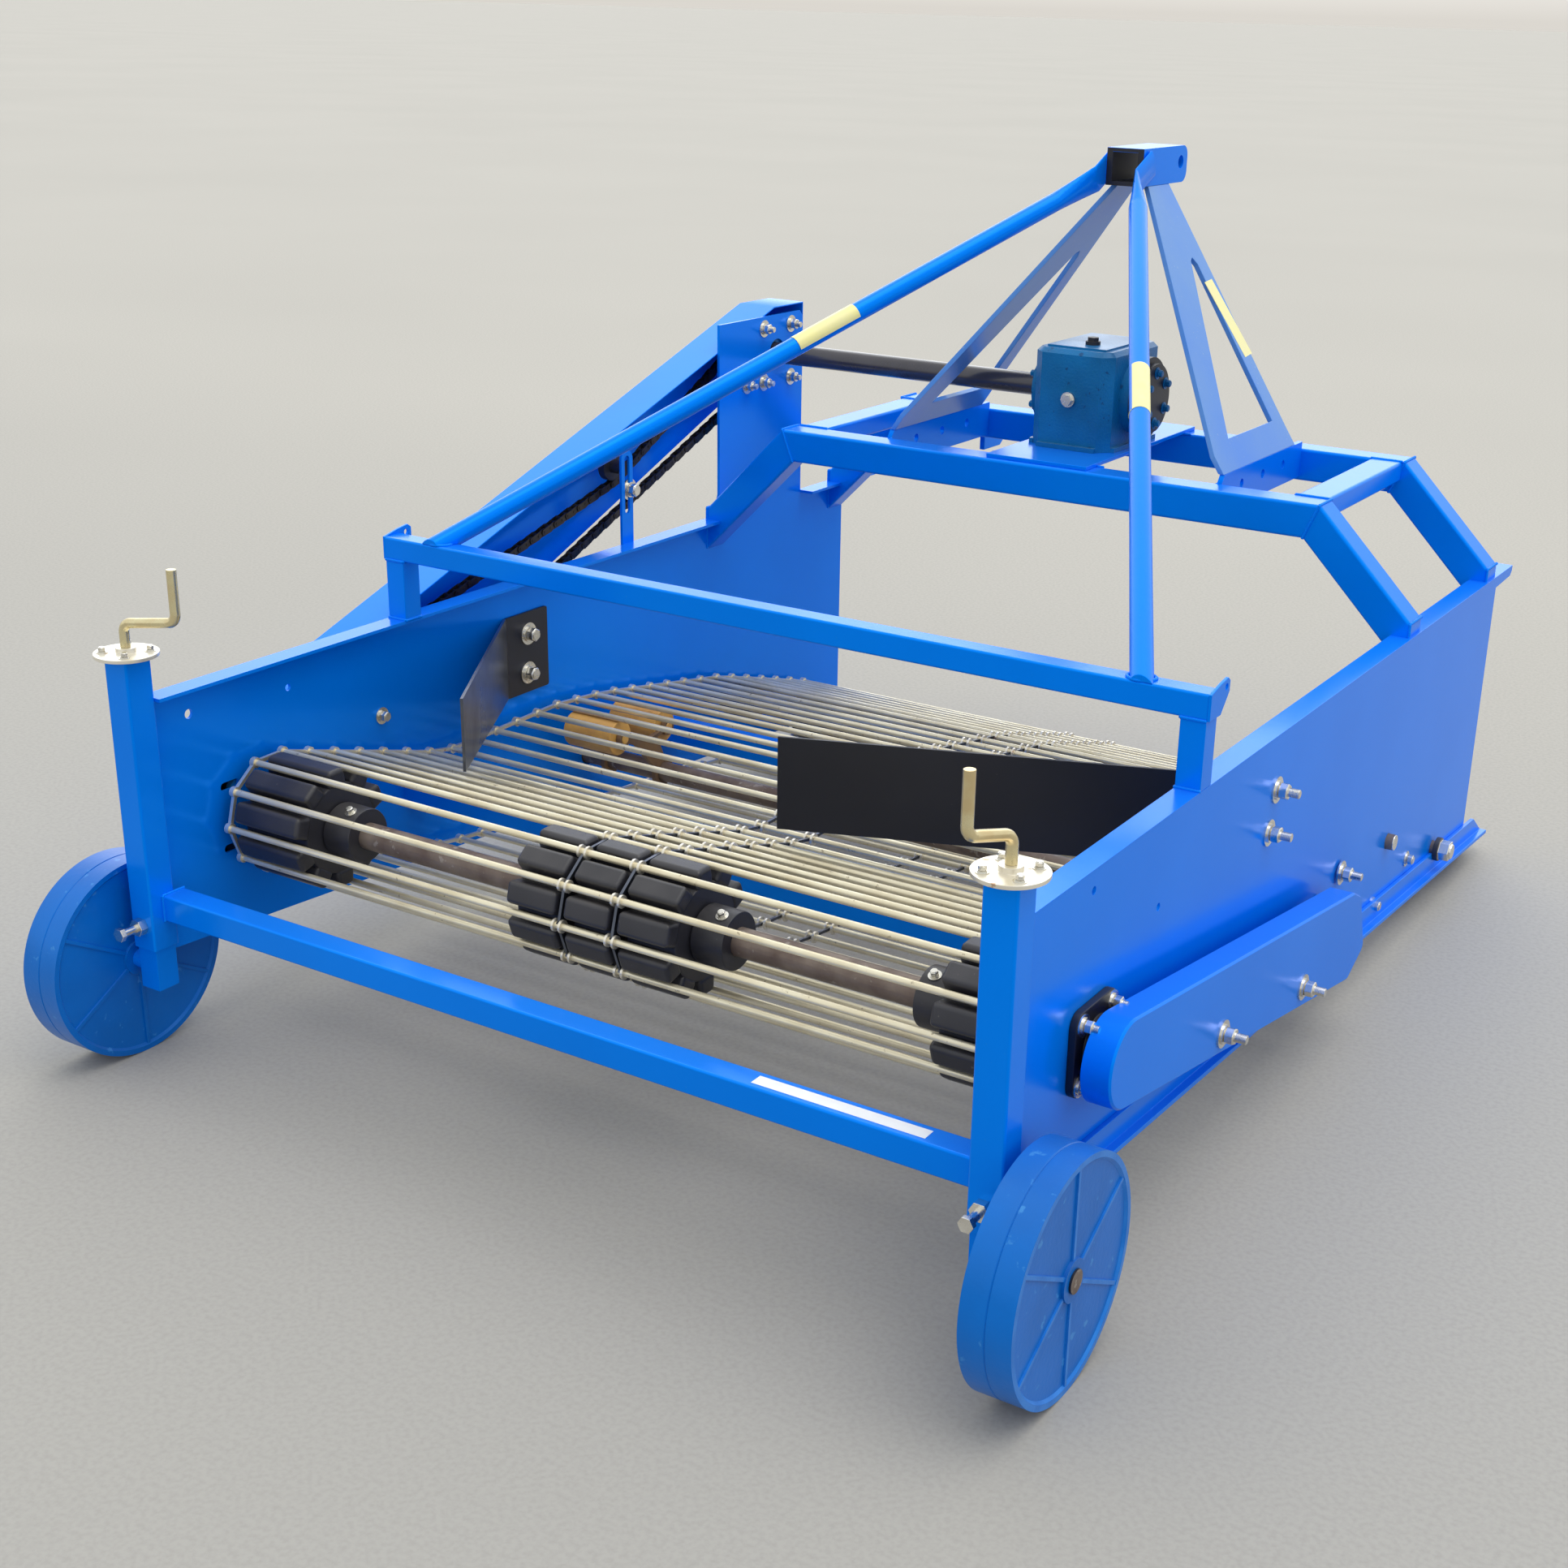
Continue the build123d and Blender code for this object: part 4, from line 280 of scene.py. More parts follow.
# ------------------------------------------------------------------------------- finishes
COMMON = {
    "metal": 0.0,               # share of bare metal
    "patches": 4.0,             # size of the two tones' patches, per metre
    "share": 0.6,               # how far the second tone comes through
    "spread": 0.07,             # how much roughness varies
    "coat": 0.0,                # clear gloss over the colour
    "tint": (1, 1, 1),          # colour of a straight-on reflection
    "shine": 0.5,               # strength of reflections
    "spots": None,              # colour of specks or stains
    "spot_scale": 60.0,
    "spot_level": 0.64,         # higher is fewer
    "dust": 0.0,                # pale dust on what faces up
}                               # grain: fineness of the bump, one number or (x, y, z)
FINISHES = {
    "enamel": {
        "base": (0.0, 0.230, 0.97), "second": (0.0, 0.192, 0.84), "patches": 2.2, "share": 0.55,
        "metal": 0.2, "rough": 0.20, "spread": 0.06, "tint": (0.05, 0.40, 1.0), "shine": 0.32,
        "grain": 60, "depth": 0.00012, "spots": (0.02, 0.26, 0.86),
        "spot_scale": 210.0, "spot_level": 0.71, "dust": 0.03},
    "cast_enamel": {
        "base": (0.005, 0.160, 0.39), "second": (0.002, 0.095, 0.24), "patches": 9.0, "share": 0.8,
        "rough": 0.34, "spread": 0.12, "tint": (0.3, 0.6, 1.0), "grain": 230,
        "depth": 0.0007, "spots": (0.006, 0.035, 0.12), "spot_scale": 70.0, "spot_level": 0.66,
        "dust": 0.10},
    # painted reflection: a paler, greyer blue for the mast plates, standing for the sky sheen they
    # show edge-on
    "pale_sheen_enamel": {
        "base": (0.10, 0.26, 0.60), "second": (0.03, 0.19, 0.70), "patches": 3.0, "share": 0.8,
        "rough": 0.22, "tint": (0.5, 0.8, 1.0), "grain": 60, "depth": 0.00012,
        "spots": (0.20, 0.34, 0.60), "spot_scale": 150.0, "spot_level": 0.68, "dust": 0.05},
    "wheel_enamel": {
        "base": (0.0, 0.145, 0.58), "second": (0.0, 0.110, 0.45), "patches": 6.0, "share": 0.8,
        "rough": 0.34, "tint": (0.3, 0.6, 1.0), "grain": 120, "depth": 0.0003,
        "spots": (0.05, 0.27, 0.66), "spot_scale": 45.0, "spot_level": 0.66, "dust": 0.06},
    # lighter blue of the rib tops: partly wear, partly a painted highlight
    "sheen_and_wear_enamel": {
        "base": (0.02, 0.20, 0.66), "second": (0.004, 0.145, 0.56), "patches": 25.0, "share": 0.9,
        "rough": 0.32, "tint": (0.4, 0.7, 1.0), "grain": 150, "depth": 0.0002},
    "rubber": {
        "base": (0.020, 0.020, 0.026), "second": (0.034, 0.033, 0.040), "patches": 14.0,
        "rough": 0.40, "spread": 0.12, "grain": 420, "depth": 0.00015,
        "spots": (0.11, 0.10, 0.09), "spot_scale": 120.0, "spot_level": 0.72, "dust": 0.08},
    "zinc": {
        "base": (0.78, 0.76, 0.70), "second": (0.58, 0.55, 0.48), "patches": 30.0, "metal": 1.0,
        "rough": 0.26, "spread": 0.10, "grain": 300, "depth": 0.00006},
    "cream_zinc": {
        "base": (0.86, 0.82, 0.72), "second": (0.72, 0.64, 0.48), "patches": 22.0, "metal": 0.75,
        "rough": 0.34, "spread": 0.10, "grain": 260, "depth": 0.00008,
        "spots": (0.42, 0.20, 0.08), "spot_scale": 55.0, "spot_level": 0.68},
    "yellow_zinc": {
        "base": (0.74, 0.66, 0.40), "second": (0.60, 0.44, 0.22), "patches": 26.0, "metal": 0.9,
        "share": 0.7, "rough": 0.28, "grain": 260, "depth": 0.00006},
    "spring_steel": {
        "base": (0.82, 0.75, 0.55), "second": (0.64, 0.55, 0.36), "patches": 12.0, "metal": 0.55,
        "share": 0.7, "rough": 0.34, "grain": (30, 400, 400), "depth": 0.00006,
        "spots": (0.30, 0.24, 0.15), "spot_scale": 90.0, "spot_level": 0.68},
    "brown_steel": {
        "base": (0.235, 0.185, 0.150), "second": (0.115, 0.075, 0.060), "patches": 16.0,
        "metal": 0.35, "share": 0.9, "rough": 0.48, "spread": 0.12, "grain": (22, 260, 260),
        "depth": 0.0004, "spots": (0.36, 0.32, 0.28), "spot_scale": 55.0, "spot_level": 0.64},
    # black paint for black parts; also used as painted shade in the mast head's hollow
    "black_enamel_and_shade": {
        "base": (0.006, 0.007, 0.014), "second": (0.011, 0.012, 0.020), "rough": 0.42,
        "spread": 0.08, "grain": 110, "depth": 0.00010, "dust": 0.02,
        "spots": (0.030, 0.030, 0.036), "spot_scale": 160.0, "spot_level": 0.72},
    "dark_steel": {
        "base": (0.15, 0.165, 0.205), "second": (0.075, 0.085, 0.11), "patches": 8.0, "metal": 0.9,
        "share": 0.8, "rough": 0.30, "spread": 0.10, "grain": (300, 300, 18), "depth": 0.0003},
    "worn_share": {
        "base": (0.24, 0.235, 0.23), "second": (0.0, 0.11, 0.50), "patches": 3.0, "metal": 0.5,
        "share": 0.9, "rough": 0.38, "spread": 0.10, "grain": (60, 300, 300), "depth": 0.00012,
        "spots": (0.20, 0.10, 0.05), "spot_scale": 40.0, "spot_level": 0.66, "dust": 0.05},
    "drive_tube": {
        "base": (0.060, 0.056, 0.064), "second": (0.035, 0.032, 0.036), "patches": 10.0,
        "metal": 0.3, "share": 0.7, "rough": 0.27, "grain": (40, 260, 260), "depth": 0.00008,
        "coat": 0.4},
    "chain": {
        "base": (0.040, 0.035, 0.031), "second": (0.095, 0.078, 0.062), "patches": 45.0,
        "metal": 0.8, "rough": 0.36, "spread": 0.12, "grain": 300, "depth": 0.00008},
    "orange_paint": {
        "base": (0.78, 0.43, 0.10), "second": (0.52, 0.26, 0.07), "patches": 18.0, "share": 0.8,
        "rough": 0.50, "spread": 0.10, "grain": 200, "depth": 0.00025, "dust": 0.10},
    "rusty_arm": {
        "base": (0.155, 0.095, 0.060), "second": (0.30, 0.17, 0.06), "patches": 20.0, "metal": 0.2,
        "share": 0.8, "rough": 0.56, "grain": 200, "depth": 0.0003},
    "yellow_label": {
        "base": (0.86, 0.80, 0.33), "second": (0.80, 0.74, 0.42), "patches": 30.0, "share": 0.5,
        "rough": 0.32, "spread": 0.05, "grain": 300, "depth": 0.00003},
    "white_label": {
        "base": (0.86, 0.87, 0.86), "second": (0.74, 0.76, 0.78), "patches": 30.0, "share": 0.5,
        "rough": 0.30, "spread": 0.05, "grain": 300, "depth": 0.00003},
}
PATCH_RANGE = (0.38, 0.66)      # noise between which the second tone comes in
SPOT_FADE = 0.05                # noise over which a speck reaches its full colour
SPOT_COVER = 0.7
DUST_TILT = 0.3                 # dust lies on faces whose normals rise above this
DUST_COLOUR = (0.55, 0.50, 0.42)
COAT_ROUGH = 0.12
made = {}                       # materials by the names of their finishes


class Nodes:
    """Short words for wiring up a material or the sky."""

    def __init__(self, tree):
        self.tree = tree

    def add(self, kind, inputs=None, **settings):
        """A node with its settings, and its inputs as values or as other nodes' outputs."""
        node = self.tree.nodes.new("ShaderNode" + kind)
        for key, value in settings.items():
            setattr(node, key, value)
        for key, value in (inputs or {}).items():
            self.join(value, node.inputs[key])
        return node

    def join(self, value, socket):
        if isinstance(value, bpy.types.NodeSocket):
            self.tree.links.new(value, socket)
        else:
            socket.default_value = value

    def noise(self, place, scale, detail):
        inputs = {"Vector": place, "Scale": scale, "Detail": detail}
        return self.add("TexNoise", inputs).outputs["Fac"]

    def remap(self, value, low, high, to_low, to_high):
        return self.add("MapRange", {
            "Value": value, "From Min": low, "From Max": high, "To Min": to_low, "To Max": to_high,
        }).outputs["Result"]

    def mix(self, amount, first, second):
        colours = [c if isinstance(c, bpy.types.NodeSocket) else (*c, 1) for c in (first, second)]
        return self.add("Mix", {"Factor": amount, "A": colours[0], "B": colours[1]},
                        data_type="RGBA").outputs["Result"]

    def times(self, first, second):
        return self.add("Math", {0: first, 1: second}, operation="MULTIPLY").outputs["Value"]


def finish_named(name):
    """The procedural material of a finish, made once."""
    if name in made:
        return made[name]
    look = {**COMMON, **FINISHES[name]}
    material = bpy.data.materials.new(name)
    material.use_nodes = True
    nodes = Nodes(material.node_tree)
    shader = material.node_tree.nodes["Principled BSDF"]
    shader.inputs["Metallic"].default_value = look["metal"]
    shader.inputs["Coat Weight"].default_value = look["coat"]
    shader.inputs["Coat Roughness"].default_value = COAT_ROUGH
    shader.inputs["Specular Tint"].default_value = (*look["tint"], 1)
    shader.inputs["Specular IOR Level"].default_value = look["shine"]
    place = nodes.add("TexCoord").outputs["Object"]

    patches = nodes.noise(place, look["patches"], 5)
    colour = nodes.mix(nodes.remap(patches, *PATCH_RANGE, 0, look["share"]),
                       look["base"], look["second"])
    if look["spots"]:
        level = look["spot_level"]
        specks = nodes.noise(place, look["spot_scale"], 3)
        spots = nodes.remap(specks, level, level + SPOT_FADE, 0, SPOT_COVER)
        colour = nodes.mix(spots, colour, look["spots"])
    if look["dust"]:
        normal = nodes.add("NewGeometry").outputs["Normal"]
        upward = nodes.add("SeparateXYZ", {"Vector": normal}).outputs["Z"]
        cover = nodes.times(nodes.remap(upward, DUST_TILT, 1, 0, look["dust"]), patches)
        colour = nodes.mix(cover, colour, DUST_COLOUR)
    nodes.join(colour, shader.inputs["Base Color"])

    grain = look["grain"] if isinstance(look["grain"], tuple) else (look["grain"],) * 3
    stretch = nodes.add("Mapping", {"Vector": place, "Scale": grain}).outputs["Vector"]
    bump = nodes.add("Bump", {"Height": nodes.noise(stretch, 1, 3), "Distance": look["depth"]})
    nodes.join(bump.outputs["Normal"], shader.inputs["Normal"])
    level, vary = look["rough"], look["spread"]
    rough = nodes.remap(patches, 0, 1, level - vary, level + vary)
    nodes.join(rough, shader.inputs["Roughness"])
    made[name] = material
    return material


# -------------------------------------------------------------------------------- settings
class DiggerPaint(PropertyGroup):
    edge: FloatProperty(name="Edge rounding", description="Radius on folded and cut steel edges",
                        default=0.0012, unit="LENGTH")
    tube_edge: FloatProperty(name="Tube corners", description="Corner radius of square tube",
                             default=0.006, unit="LENGTH")
    weld: FloatProperty(name="Weld bead", description="Half the width of a weld bead",
                        default=0.0034, unit="LENGTH")


class DiggerWeb(PropertyGroup):
    rod_across: FloatProperty(name="Rod across", description="Diameter of a web rod", default=0.012,
                              unit="LENGTH")
    collar: FloatProperty(name="Collar radius", description="Radius of the collars on each rod",
                          default=0.0105, unit="LENGTH")
    link_x: FloatProperty(name="Middle links", description="From the centre to a middle link",
                          default=0.050, unit="LENGTH")


class DiggerLabels(PropertyGroup):
    thick: FloatProperty(name="Thickness", description="Thickness of a sticker", default=0.0005,
                         unit="LENGTH")


class DiggerChain(PropertyGroup):
    pitch: FloatProperty(name="Pitch", description="Pitch of the roller chain", default=0.01905,
                         unit="LENGTH")
    roller: FloatProperty(name="Roller radius", description="Radius of a chain roller",
                          default=0.0058, unit="LENGTH")


class DiggerStage(PropertyGroup):
    lens: FloatProperty(name="Lens", description="Focal length", default=48.36)
    key: FloatProperty(name="Key lamp", description="Strength of the main lamp", default=1.1)
    sky: FloatProperty(name="Sky", description="Strength of the surrounding light", default=1.02)
    glow: FloatProperty(name="Low sky", description="Extra light low in the sky ahead", default=1.8)
    floor: FloatVectorProperty(name="Floor", description="Colour of the floor", subtype="COLOR",
                               size=3, default=(0.355, 0.345, 0.325))
    # painted light: a lighter floor colour further ahead
    floor_far: FloatVectorProperty(name="Far floor", description="Colour of the floor far ahead",
                                   subtype="COLOR", size=3, default=(0.455, 0.435, 0.395))


# ------------------------------------------------------------------------------- operators
class DIGGER_OT_frame(Operator):
    """Rounded edges and blue enamel on plates, tubes and guards"""
    bl_idname = "digger.frame"
    bl_label = "Painted steelwork"

    def execute(self, context):
        sizes = context.scene.digger_paint
        for node in ("side_plate_left", "side_plate_right", "runner_left", "runner_right",
                     "arch_posts", "arch_ends", "mast_brackets", "gearbox_plate",
                     "idler_bracket", "chain_guard", "lower_hitch_ears", "share_beam",
                     "leg_tube_left", "leg_tube_right", "rear_cross_tube", "under_web_tubes",
                     "arch_tube"):
            dress(node, "enamel", sizes.edge)
        for node in ("headstock_beams", "headstock_struts", "beam_spacers"):
            tube = flat_copy(node)
            round_tube(tube, sizes.tube_edge)
            round_edges(tube, sizes.edge)
            clad(tube, "enamel", node=node)
        head = dress("mast_head", "enamel", edge=0.003)
        cheek_x, head_top = 0.031, 1.408  # painted shade: the hollow between the cheeks is painted black
        # painted shade: black on the faces inside the mast head's hollow
        touch_up(head, "black_enamel_and_shade", lambda c: abs(c.x) < cheek_x and c.z < head_top)
        dress("chain_case", "enamel", edge=0.0015)
        axle_r = 0.0122
        for side in ("left", "right"):
            dress("brace_" + side, "enamel", edge=0.002)
            # painted reflection: the mast plates' paler blue stands for their sky sheen
            dress("mast_plate_" + side, "pale_sheen_enamel", sizes.edge)
            leg = dress("inner_leg_" + side, "enamel", edge=0.0012, body="leg_" + side)
            hub = middle("wheel_" + side)
            touch_up(leg, "black_enamel_and_shade", lambda c: abs(c.x) > abs(hub.x))
            touch_up(leg, "brown_steel",
                     lambda c: abs(c.x) > abs(hub.x) and hypot(c.y - hub.y, c.z - hub.z) < axle_r)
        return {"FINISHED"}


def round_tube(obj, width):
    """Round a square tube's long edges, fore and aft or across, and leave its cut ends sharp."""
    points = obj.data.vertices

    def along_tube(edge):
        run = points[edge.vertices[1]].co - points[edge.vertices[0]].co
        lean = abs(run.normalized().y)
        return run.length > TUBE_RUN and (lean > 0.9 or lean < 0.01)

    edit_chosen(obj, "EDGE", along_tube)
    bpy.ops.mesh.bevel(offset=width, segments=3, affect="EDGES")
    done()


class DIGGER_OT_welds(Operator):
    """Weld beads where tubes and plates meet"""
    bl_idname = "digger.welds"
    bl_label = "Weld beads"

    def execute(self, context):
        sizes = context.scene.digger_paint
        tube, top, low = 0.065, 0.842, 0.777  # headstock beams
        bend_x, bend_low_x = 0.583, 0.556  # where they turn down
        foot_x, foot_top, foot_low = 0.774, 0.651, 0.562
        pad_x = 0.122  # gearbox plate
        outer = 0.780  # side plates and posts
        post_x, post_rear, post_front = 0.740, 0.584, 0.624
        leg_x, cross_low, cross_top, cross_deep = 0.749, 0.252, 0.297, 0.045
        spacer_x, spacer_out = 0.513, 0.578
        gap_rear, gap_front = 1.623, 2.049  # between the two beams
        runs = []
        for rear in (1.558, gap_front):
            front = rear + tube
            inward = rear if rear == gap_front else front
            runs += [((bend_x, rear, top), (bend_low_x, rear, low)),
                     ((bend_x, front, top), (bend_low_x, front, low)),
                     ((bend_x, rear, top), (bend_x, front, top)),
                     ((foot_x, rear, foot_top), (foot_x, rear, foot_low)),
                     ((foot_x, rear, foot_top), (foot_x, front, foot_top)),
                     ((pad_x, inward, top), (-pad_x, inward, top))]
        for across_z, back_z in ((0.626, 0.627), (0.733, 0.733)):
            runs += [((post_x, post_rear, across_z), (post_x, post_front, across_z)),
                     ((post_x, post_rear, back_z), (outer, post_rear, back_z))]
        runs += [((leg_x, 0, cross_low), (leg_x, 0, cross_top)),
                 ((leg_x, 0, cross_top), (leg_x, cross_deep, cross_top)),
                 ((spacer_x, gap_rear, top), (spacer_out, gap_rear, top)),
                 ((spacer_x, gap_front, top), (spacer_out, gap_front, top)),
                 ((spacer_x, gap_rear, 0.802), (spacer_x, gap_rear, top)),
                 ((0.357, gap_rear, 0.800), (0.357, gap_rear, top)),
                 ((outer, 0.028, 0.230), (outer, 0.028, 0.620))]
        brace_x, brace_back = BRACE_FOOT
        ring = [at(brace_x + 0.0215 * cos(a), brace_back + 0.0185 * sin(a), 0.774)
                for a in [2 * pi * n / 24 for n in range(25)]]
        lines = [(at(*a), at(*b)) for a, b in runs] + list(zip(ring, ring[1:]))
        spacing, squash, twist = 0.8, 0.8, 1.3  # of drops of weld, in radii, shares and radians
        places = []
        for side in (1, -1):
            for a, b in lines:
                count = max(1, round((b - a).length / (spacing * sizes.weld)))
                for n in range(count):
                    point = a + (b - a) * ((n + 0.5) / count)
                    place = facing(Vector((side * point.x, point.y, point.z)), b - a, twist * n)
                    places.append(place @ Matrix.Diagonal((1, 1, squash, 1)))
        clear()
        bpy.ops.mesh.primitive_ico_sphere_add(subdivisions=1, radius=sizes.weld)
        beads = spread(context.object, places, "weld_beads")
        smooth(beads, 80)
        clad(beads, "enamel")
        return {"FINISHED"}


class DIGGER_OT_gearbox(Operator):
    """Cast gearbox, its shafts and bearing housings"""
    bl_idname = "digger.gearbox"
    bl_label = "Gearbox and shafts"

    def execute(self, context):
        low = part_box("gearbox")[0]
        cap_x, breather_z = 0.109, 1.0495
        plug_y, plug_x, plug_z = low.y + 0.013, 0.03, 0.88
        gearbox = dress("gearbox", "cast_enamel", edge=0.003)
        touch_up(gearbox, "black_enamel_and_shade", lambda c: c.x > cap_x)
        touch_up(gearbox, "zinc", lambda c: c.y < plug_y and abs(c.x) < plug_x and c.z > plug_z)
        touch_up(gearbox, "black_enamel_and_shade", lambda c: c.z > breather_z)
        bearings = dress("bearings", "cast_enamel", edge=0.002)
        rear, reach = middle("web_drive_shaft"), 0.1
        touch_up(bearings, "black_enamel_and_shade", lambda c: c.x > 0 and abs(c.y - rear.y) < reach)
        dress("pto_shaft", "zinc", edge=0.0008)
        dress("cross_shaft", "drive_tube", edge=0.001)
        dress("web_drive_shaft", "brown_steel", edge=0.001)
        return {"FINISHED"}


class DIGGER_OT_wheels(Operator):
    """Solid depth wheels"""
    bl_idname = "digger.wheels"
    bl_label = "Depth wheels"

    def execute(self, context):
        rib_out, rib_start, rib_end = 0.0343, 0.031, 0.160  # lighter tops of the ribs: painted highlight and wear
        for side in ("left", "right"):
            heart = middle("wheel_" + side)
            wheel = dress("wheel_" + side, "wheel_enamel", edge=0.0015, body="wheel_" + side)
            out = abs(heart.x) + rib_out
            # painted highlight and wear: the outer rib tops get a lighter blue
            touch_up(wheel, "sheen_and_wear_enamel", lambda c: abs(c.x) > out
                     and rib_start < hypot(c.y - heart.y, c.z - heart.z) < rib_end)
        return {"FINISHED"}


def rod_places(node, across):
    """Where each web rod's middle lies (y, z), and which way its links lead."""
    end_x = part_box(node)[1].x - 0.0005
    places = []
    for part in loose_parts(node):
        ends = [v.co.copy() for v in part.data.vertices if v.co.x > end_x]
        pairs = [(a, b) for i, a in enumerate(ends) for b in ends[i + 1:]]
        a, b = min(pairs, key=lambda pair: abs((pair[0] - pair[1]).length - across))
        heart = (a + b) / 2
        far = sorted(ends, key=lambda co: (co - heart).length)[-2:]
        tip = (far[0] + far[1]) / 2
        places.append((heart.y, heart.z, atan2(tip.z - heart.z, tip.y - heart.y)))
        bpy.data.objects.remove(part)
    return places


class DIGGER_OT_web(Operator):
    """Round web rods with their collars and end hooks"""
    bl_idname = "digger.web"
    bl_label = "Rod web"

    def execute(self, context):
        sizes = context.scene.digger_web
        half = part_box("conveyor_web")[1].x
        places = rod_places("conveyor_web", sizes.rod_across)
        pitch = min(hypot(a[0] - places[0][0], a[1] - places[0][1]) for a in places[1:])

        slack = 0.0003  # thinner than a solid rod, in radius
        collar_near, collar_far = 0.0045, 0.0085  # from a link's middle
        link_wide, link_high, link_end = 0.0024, 0.0026, 0.006
        eye_in, eye_r, hook = 0.0045, 0.0092, 0.0032
        radius = sizes.rod_across / 2 - slack
        rod = cylinder("rod", radius, (-half, 0, 0), (half, 0, 0), 14)
        round_edges(rod, 0.0012, segments=1)
        fittings, flats = [], []
        for side in (-1, 1):
            x = side * sizes.link_x
            for step in (-1, 1):
                fittings.append(cylinder("collar", sizes.collar, (x + step * collar_far, 0, 0),
                                         (x + step * collar_near, 0, 0), 12))
            flats.append(block("link", (x - link_wide, -link_end, -link_high),
                               (x + link_wide, pitch - 0.002, link_high)))
            x = side * (half - eye_in)
            fittings.append(cylinder("eye", eye_r, (x - eye_in, 0, 0), (x + eye_in, 0, 0), 12))
            fittings.append(block("hook", (x - hook, 0.0, -hook), (x + hook, pitch, hook)))
        metal, dark = join("fittings", fittings), join("links", flats)
        turned = [Matrix.Translation((0, y, z)) @ Matrix.Rotation(turn, 4, "X")
                  for y, z, turn in places]
        rods = spread(rod, turned, "web_rods")
        rings = spread(metal, turned, "web_collars")
        links = spread(dark, turned, "web_links")
        for piece in (rods, rings, links):
            smooth(piece, 40)
        clad(rods, "spring_steel", "root", "conveyor_web")
        clad(rings, "cream_zinc")
        clad(links, "dark_steel")
        return {"FINISHED"}


def off_axis(node):
    """How far a point lies from the line across the machine through a node's middle."""
    heart = middle(node)
    return lambda c: hypot(c.y - heart.y, c.z - heart.z)


class DIGGER_OT_rollers(Operator):
    """Rubber web sprockets and the rollers under the web"""
    bl_idname = "digger.rollers"
    bl_label = "Sprockets and rollers"

    def execute(self, context):
        self.sprockets(context.scene.digger_web)
        shaft_r, nut_x = 0.0156, 0.7985
        for node, end_x in (("front_rollers", nut_x), ("support_rollers", PLATE_X)):
            out = off_axis(node)
            rollers = dress(node, "rubber", edge=0.002)
            touch_up(rollers, "brown_steel", lambda c: out(c) < shaft_r)
            touch_up(rollers, "zinc", lambda c: abs(c.x) > end_x)
        dress("shaker_rollers", "orange_paint", edge=0.003)
        dress("shaker_rockers", "rusty_arm", edge=0.001)
        dress("shaker_shaft", "brown_steel", edge=0.001)
        return {"FINISHED"}

    def sprockets(self, sizes):
        """Rubber teeth round a core, each between two rods, and the hubs beside them."""
        shaft = middle("web_drive_shaft")
        low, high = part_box("web_sprockets")
        tip = (high.z - low.z) / 2
        root, inset = tip - 0.026, 0.002  # of the core
        hub_least = 0.01  # shorter stubs are no hubs
        tooth_half, tooth_foot, tooth_taper = 0.0205, tip - 0.032, 0.86
        count = 10
        rods = [(y, z) for y, z, _ in rod_places("conveyor_web", sizes.rod_across)
                if hypot(y - shaft.y, z - shaft.z) < tip + 0.01]
        first = sorted(atan2(z - shaft.z, y - shaft.y) for y, z in rods)[0]
        teeth, cores = [], []
        for part in loose_parts("web_sprockets"):
            far = [v.co.x for v in part.data.vertices
                   if hypot(v.co.y - shaft.y, v.co.z - shaft.z) > 0.075]
            ends = [v.co.x for v in part.data.vertices]
            bpy.data.objects.remove(part)
            left, right = min(far), max(far)
            core = cylinder("core", root, (left + inset, shaft.y, shaft.z),
                            (right - inset, shaft.y, shaft.z), 40)
            round_edges(core, 0.004)
            cores.append(core)
            for a, b in ((min(ends), left), (right, max(ends))):
                if b - a > hub_least:
                    hub = cylinder("hub", RUBBER_HUB_R, (a, shaft.y, shaft.z),
                                   (b, shaft.y, shaft.z), 40)
                    round_edges(hub, 0.003)
                    cores.append(hub)
            tooth = block("tooth", (left, -tooth_half, tooth_foot), (right, tooth_half, tip))
            select_verts(tooth, lambda co: co.z > tip - 0.01)
            bpy.ops.object.mode_set(mode="EDIT")
            bpy.ops.transform.resize(value=(1, tooth_taper, 1))
            done()
            round_edges(tooth, 0.0075, segments=3)
            turns = [Matrix.Translation((0, shaft.y, shaft.z))
                     @ Matrix.Rotation(first + radians(360 / count * (n + 0.5)) - pi / 2, 4, "X")
                     for n in range(count)]
            teeth.append(spread(tooth, turns, "teeth"))
        wheels = join("rubber_sprockets", cores + teeth)
        clad(wheels, "rubber", node="web_sprockets")


def belt(circles):
    """Straights and arcs of a chain round circles (y, z, radius, turn), against the clock."""
    spans = []
    for (y0, z0, r0, t0), (y1, z1, r1, t1) in zip(circles, circles[1:] + circles[:1]):
        length = hypot(y1 - y0, z1 - z0)
        lean = (t0 * r0 - t1 * r1) / length
        angle = atan2(z1 - z0, y1 - y0) - pi / 2 + atan2(lean, sqrt(1 - lean * lean))
        normal = Vector((cos(angle), sin(angle)))
        spans.append((Vector((y0, z0)) + t0 * r0 * normal, Vector((y1, z1)) + t1 * r1 * normal))
    line = []
    for index, (y, z, r, t) in enumerate(circles):
        arrive = spans[index - 1][1] - Vector((y, z))
        leave, arrived = spans[index]
        start = atan2(arrive.y, arrive.x)
        gone = leave - Vector((y, z))
        sweep = atan2(gone.y, gone.x) - start
        sweep = sweep % (2 * pi) if t > 0 else -(-sweep % (2 * pi))
        steps = max(2, int(abs(sweep) * r / 0.002))
        for step in range(steps + 1):
            a = start + sweep * step / steps
            line.append(Vector((y + r * cos(a), z + r * sin(a))))
        line.append(arrived)
    return line


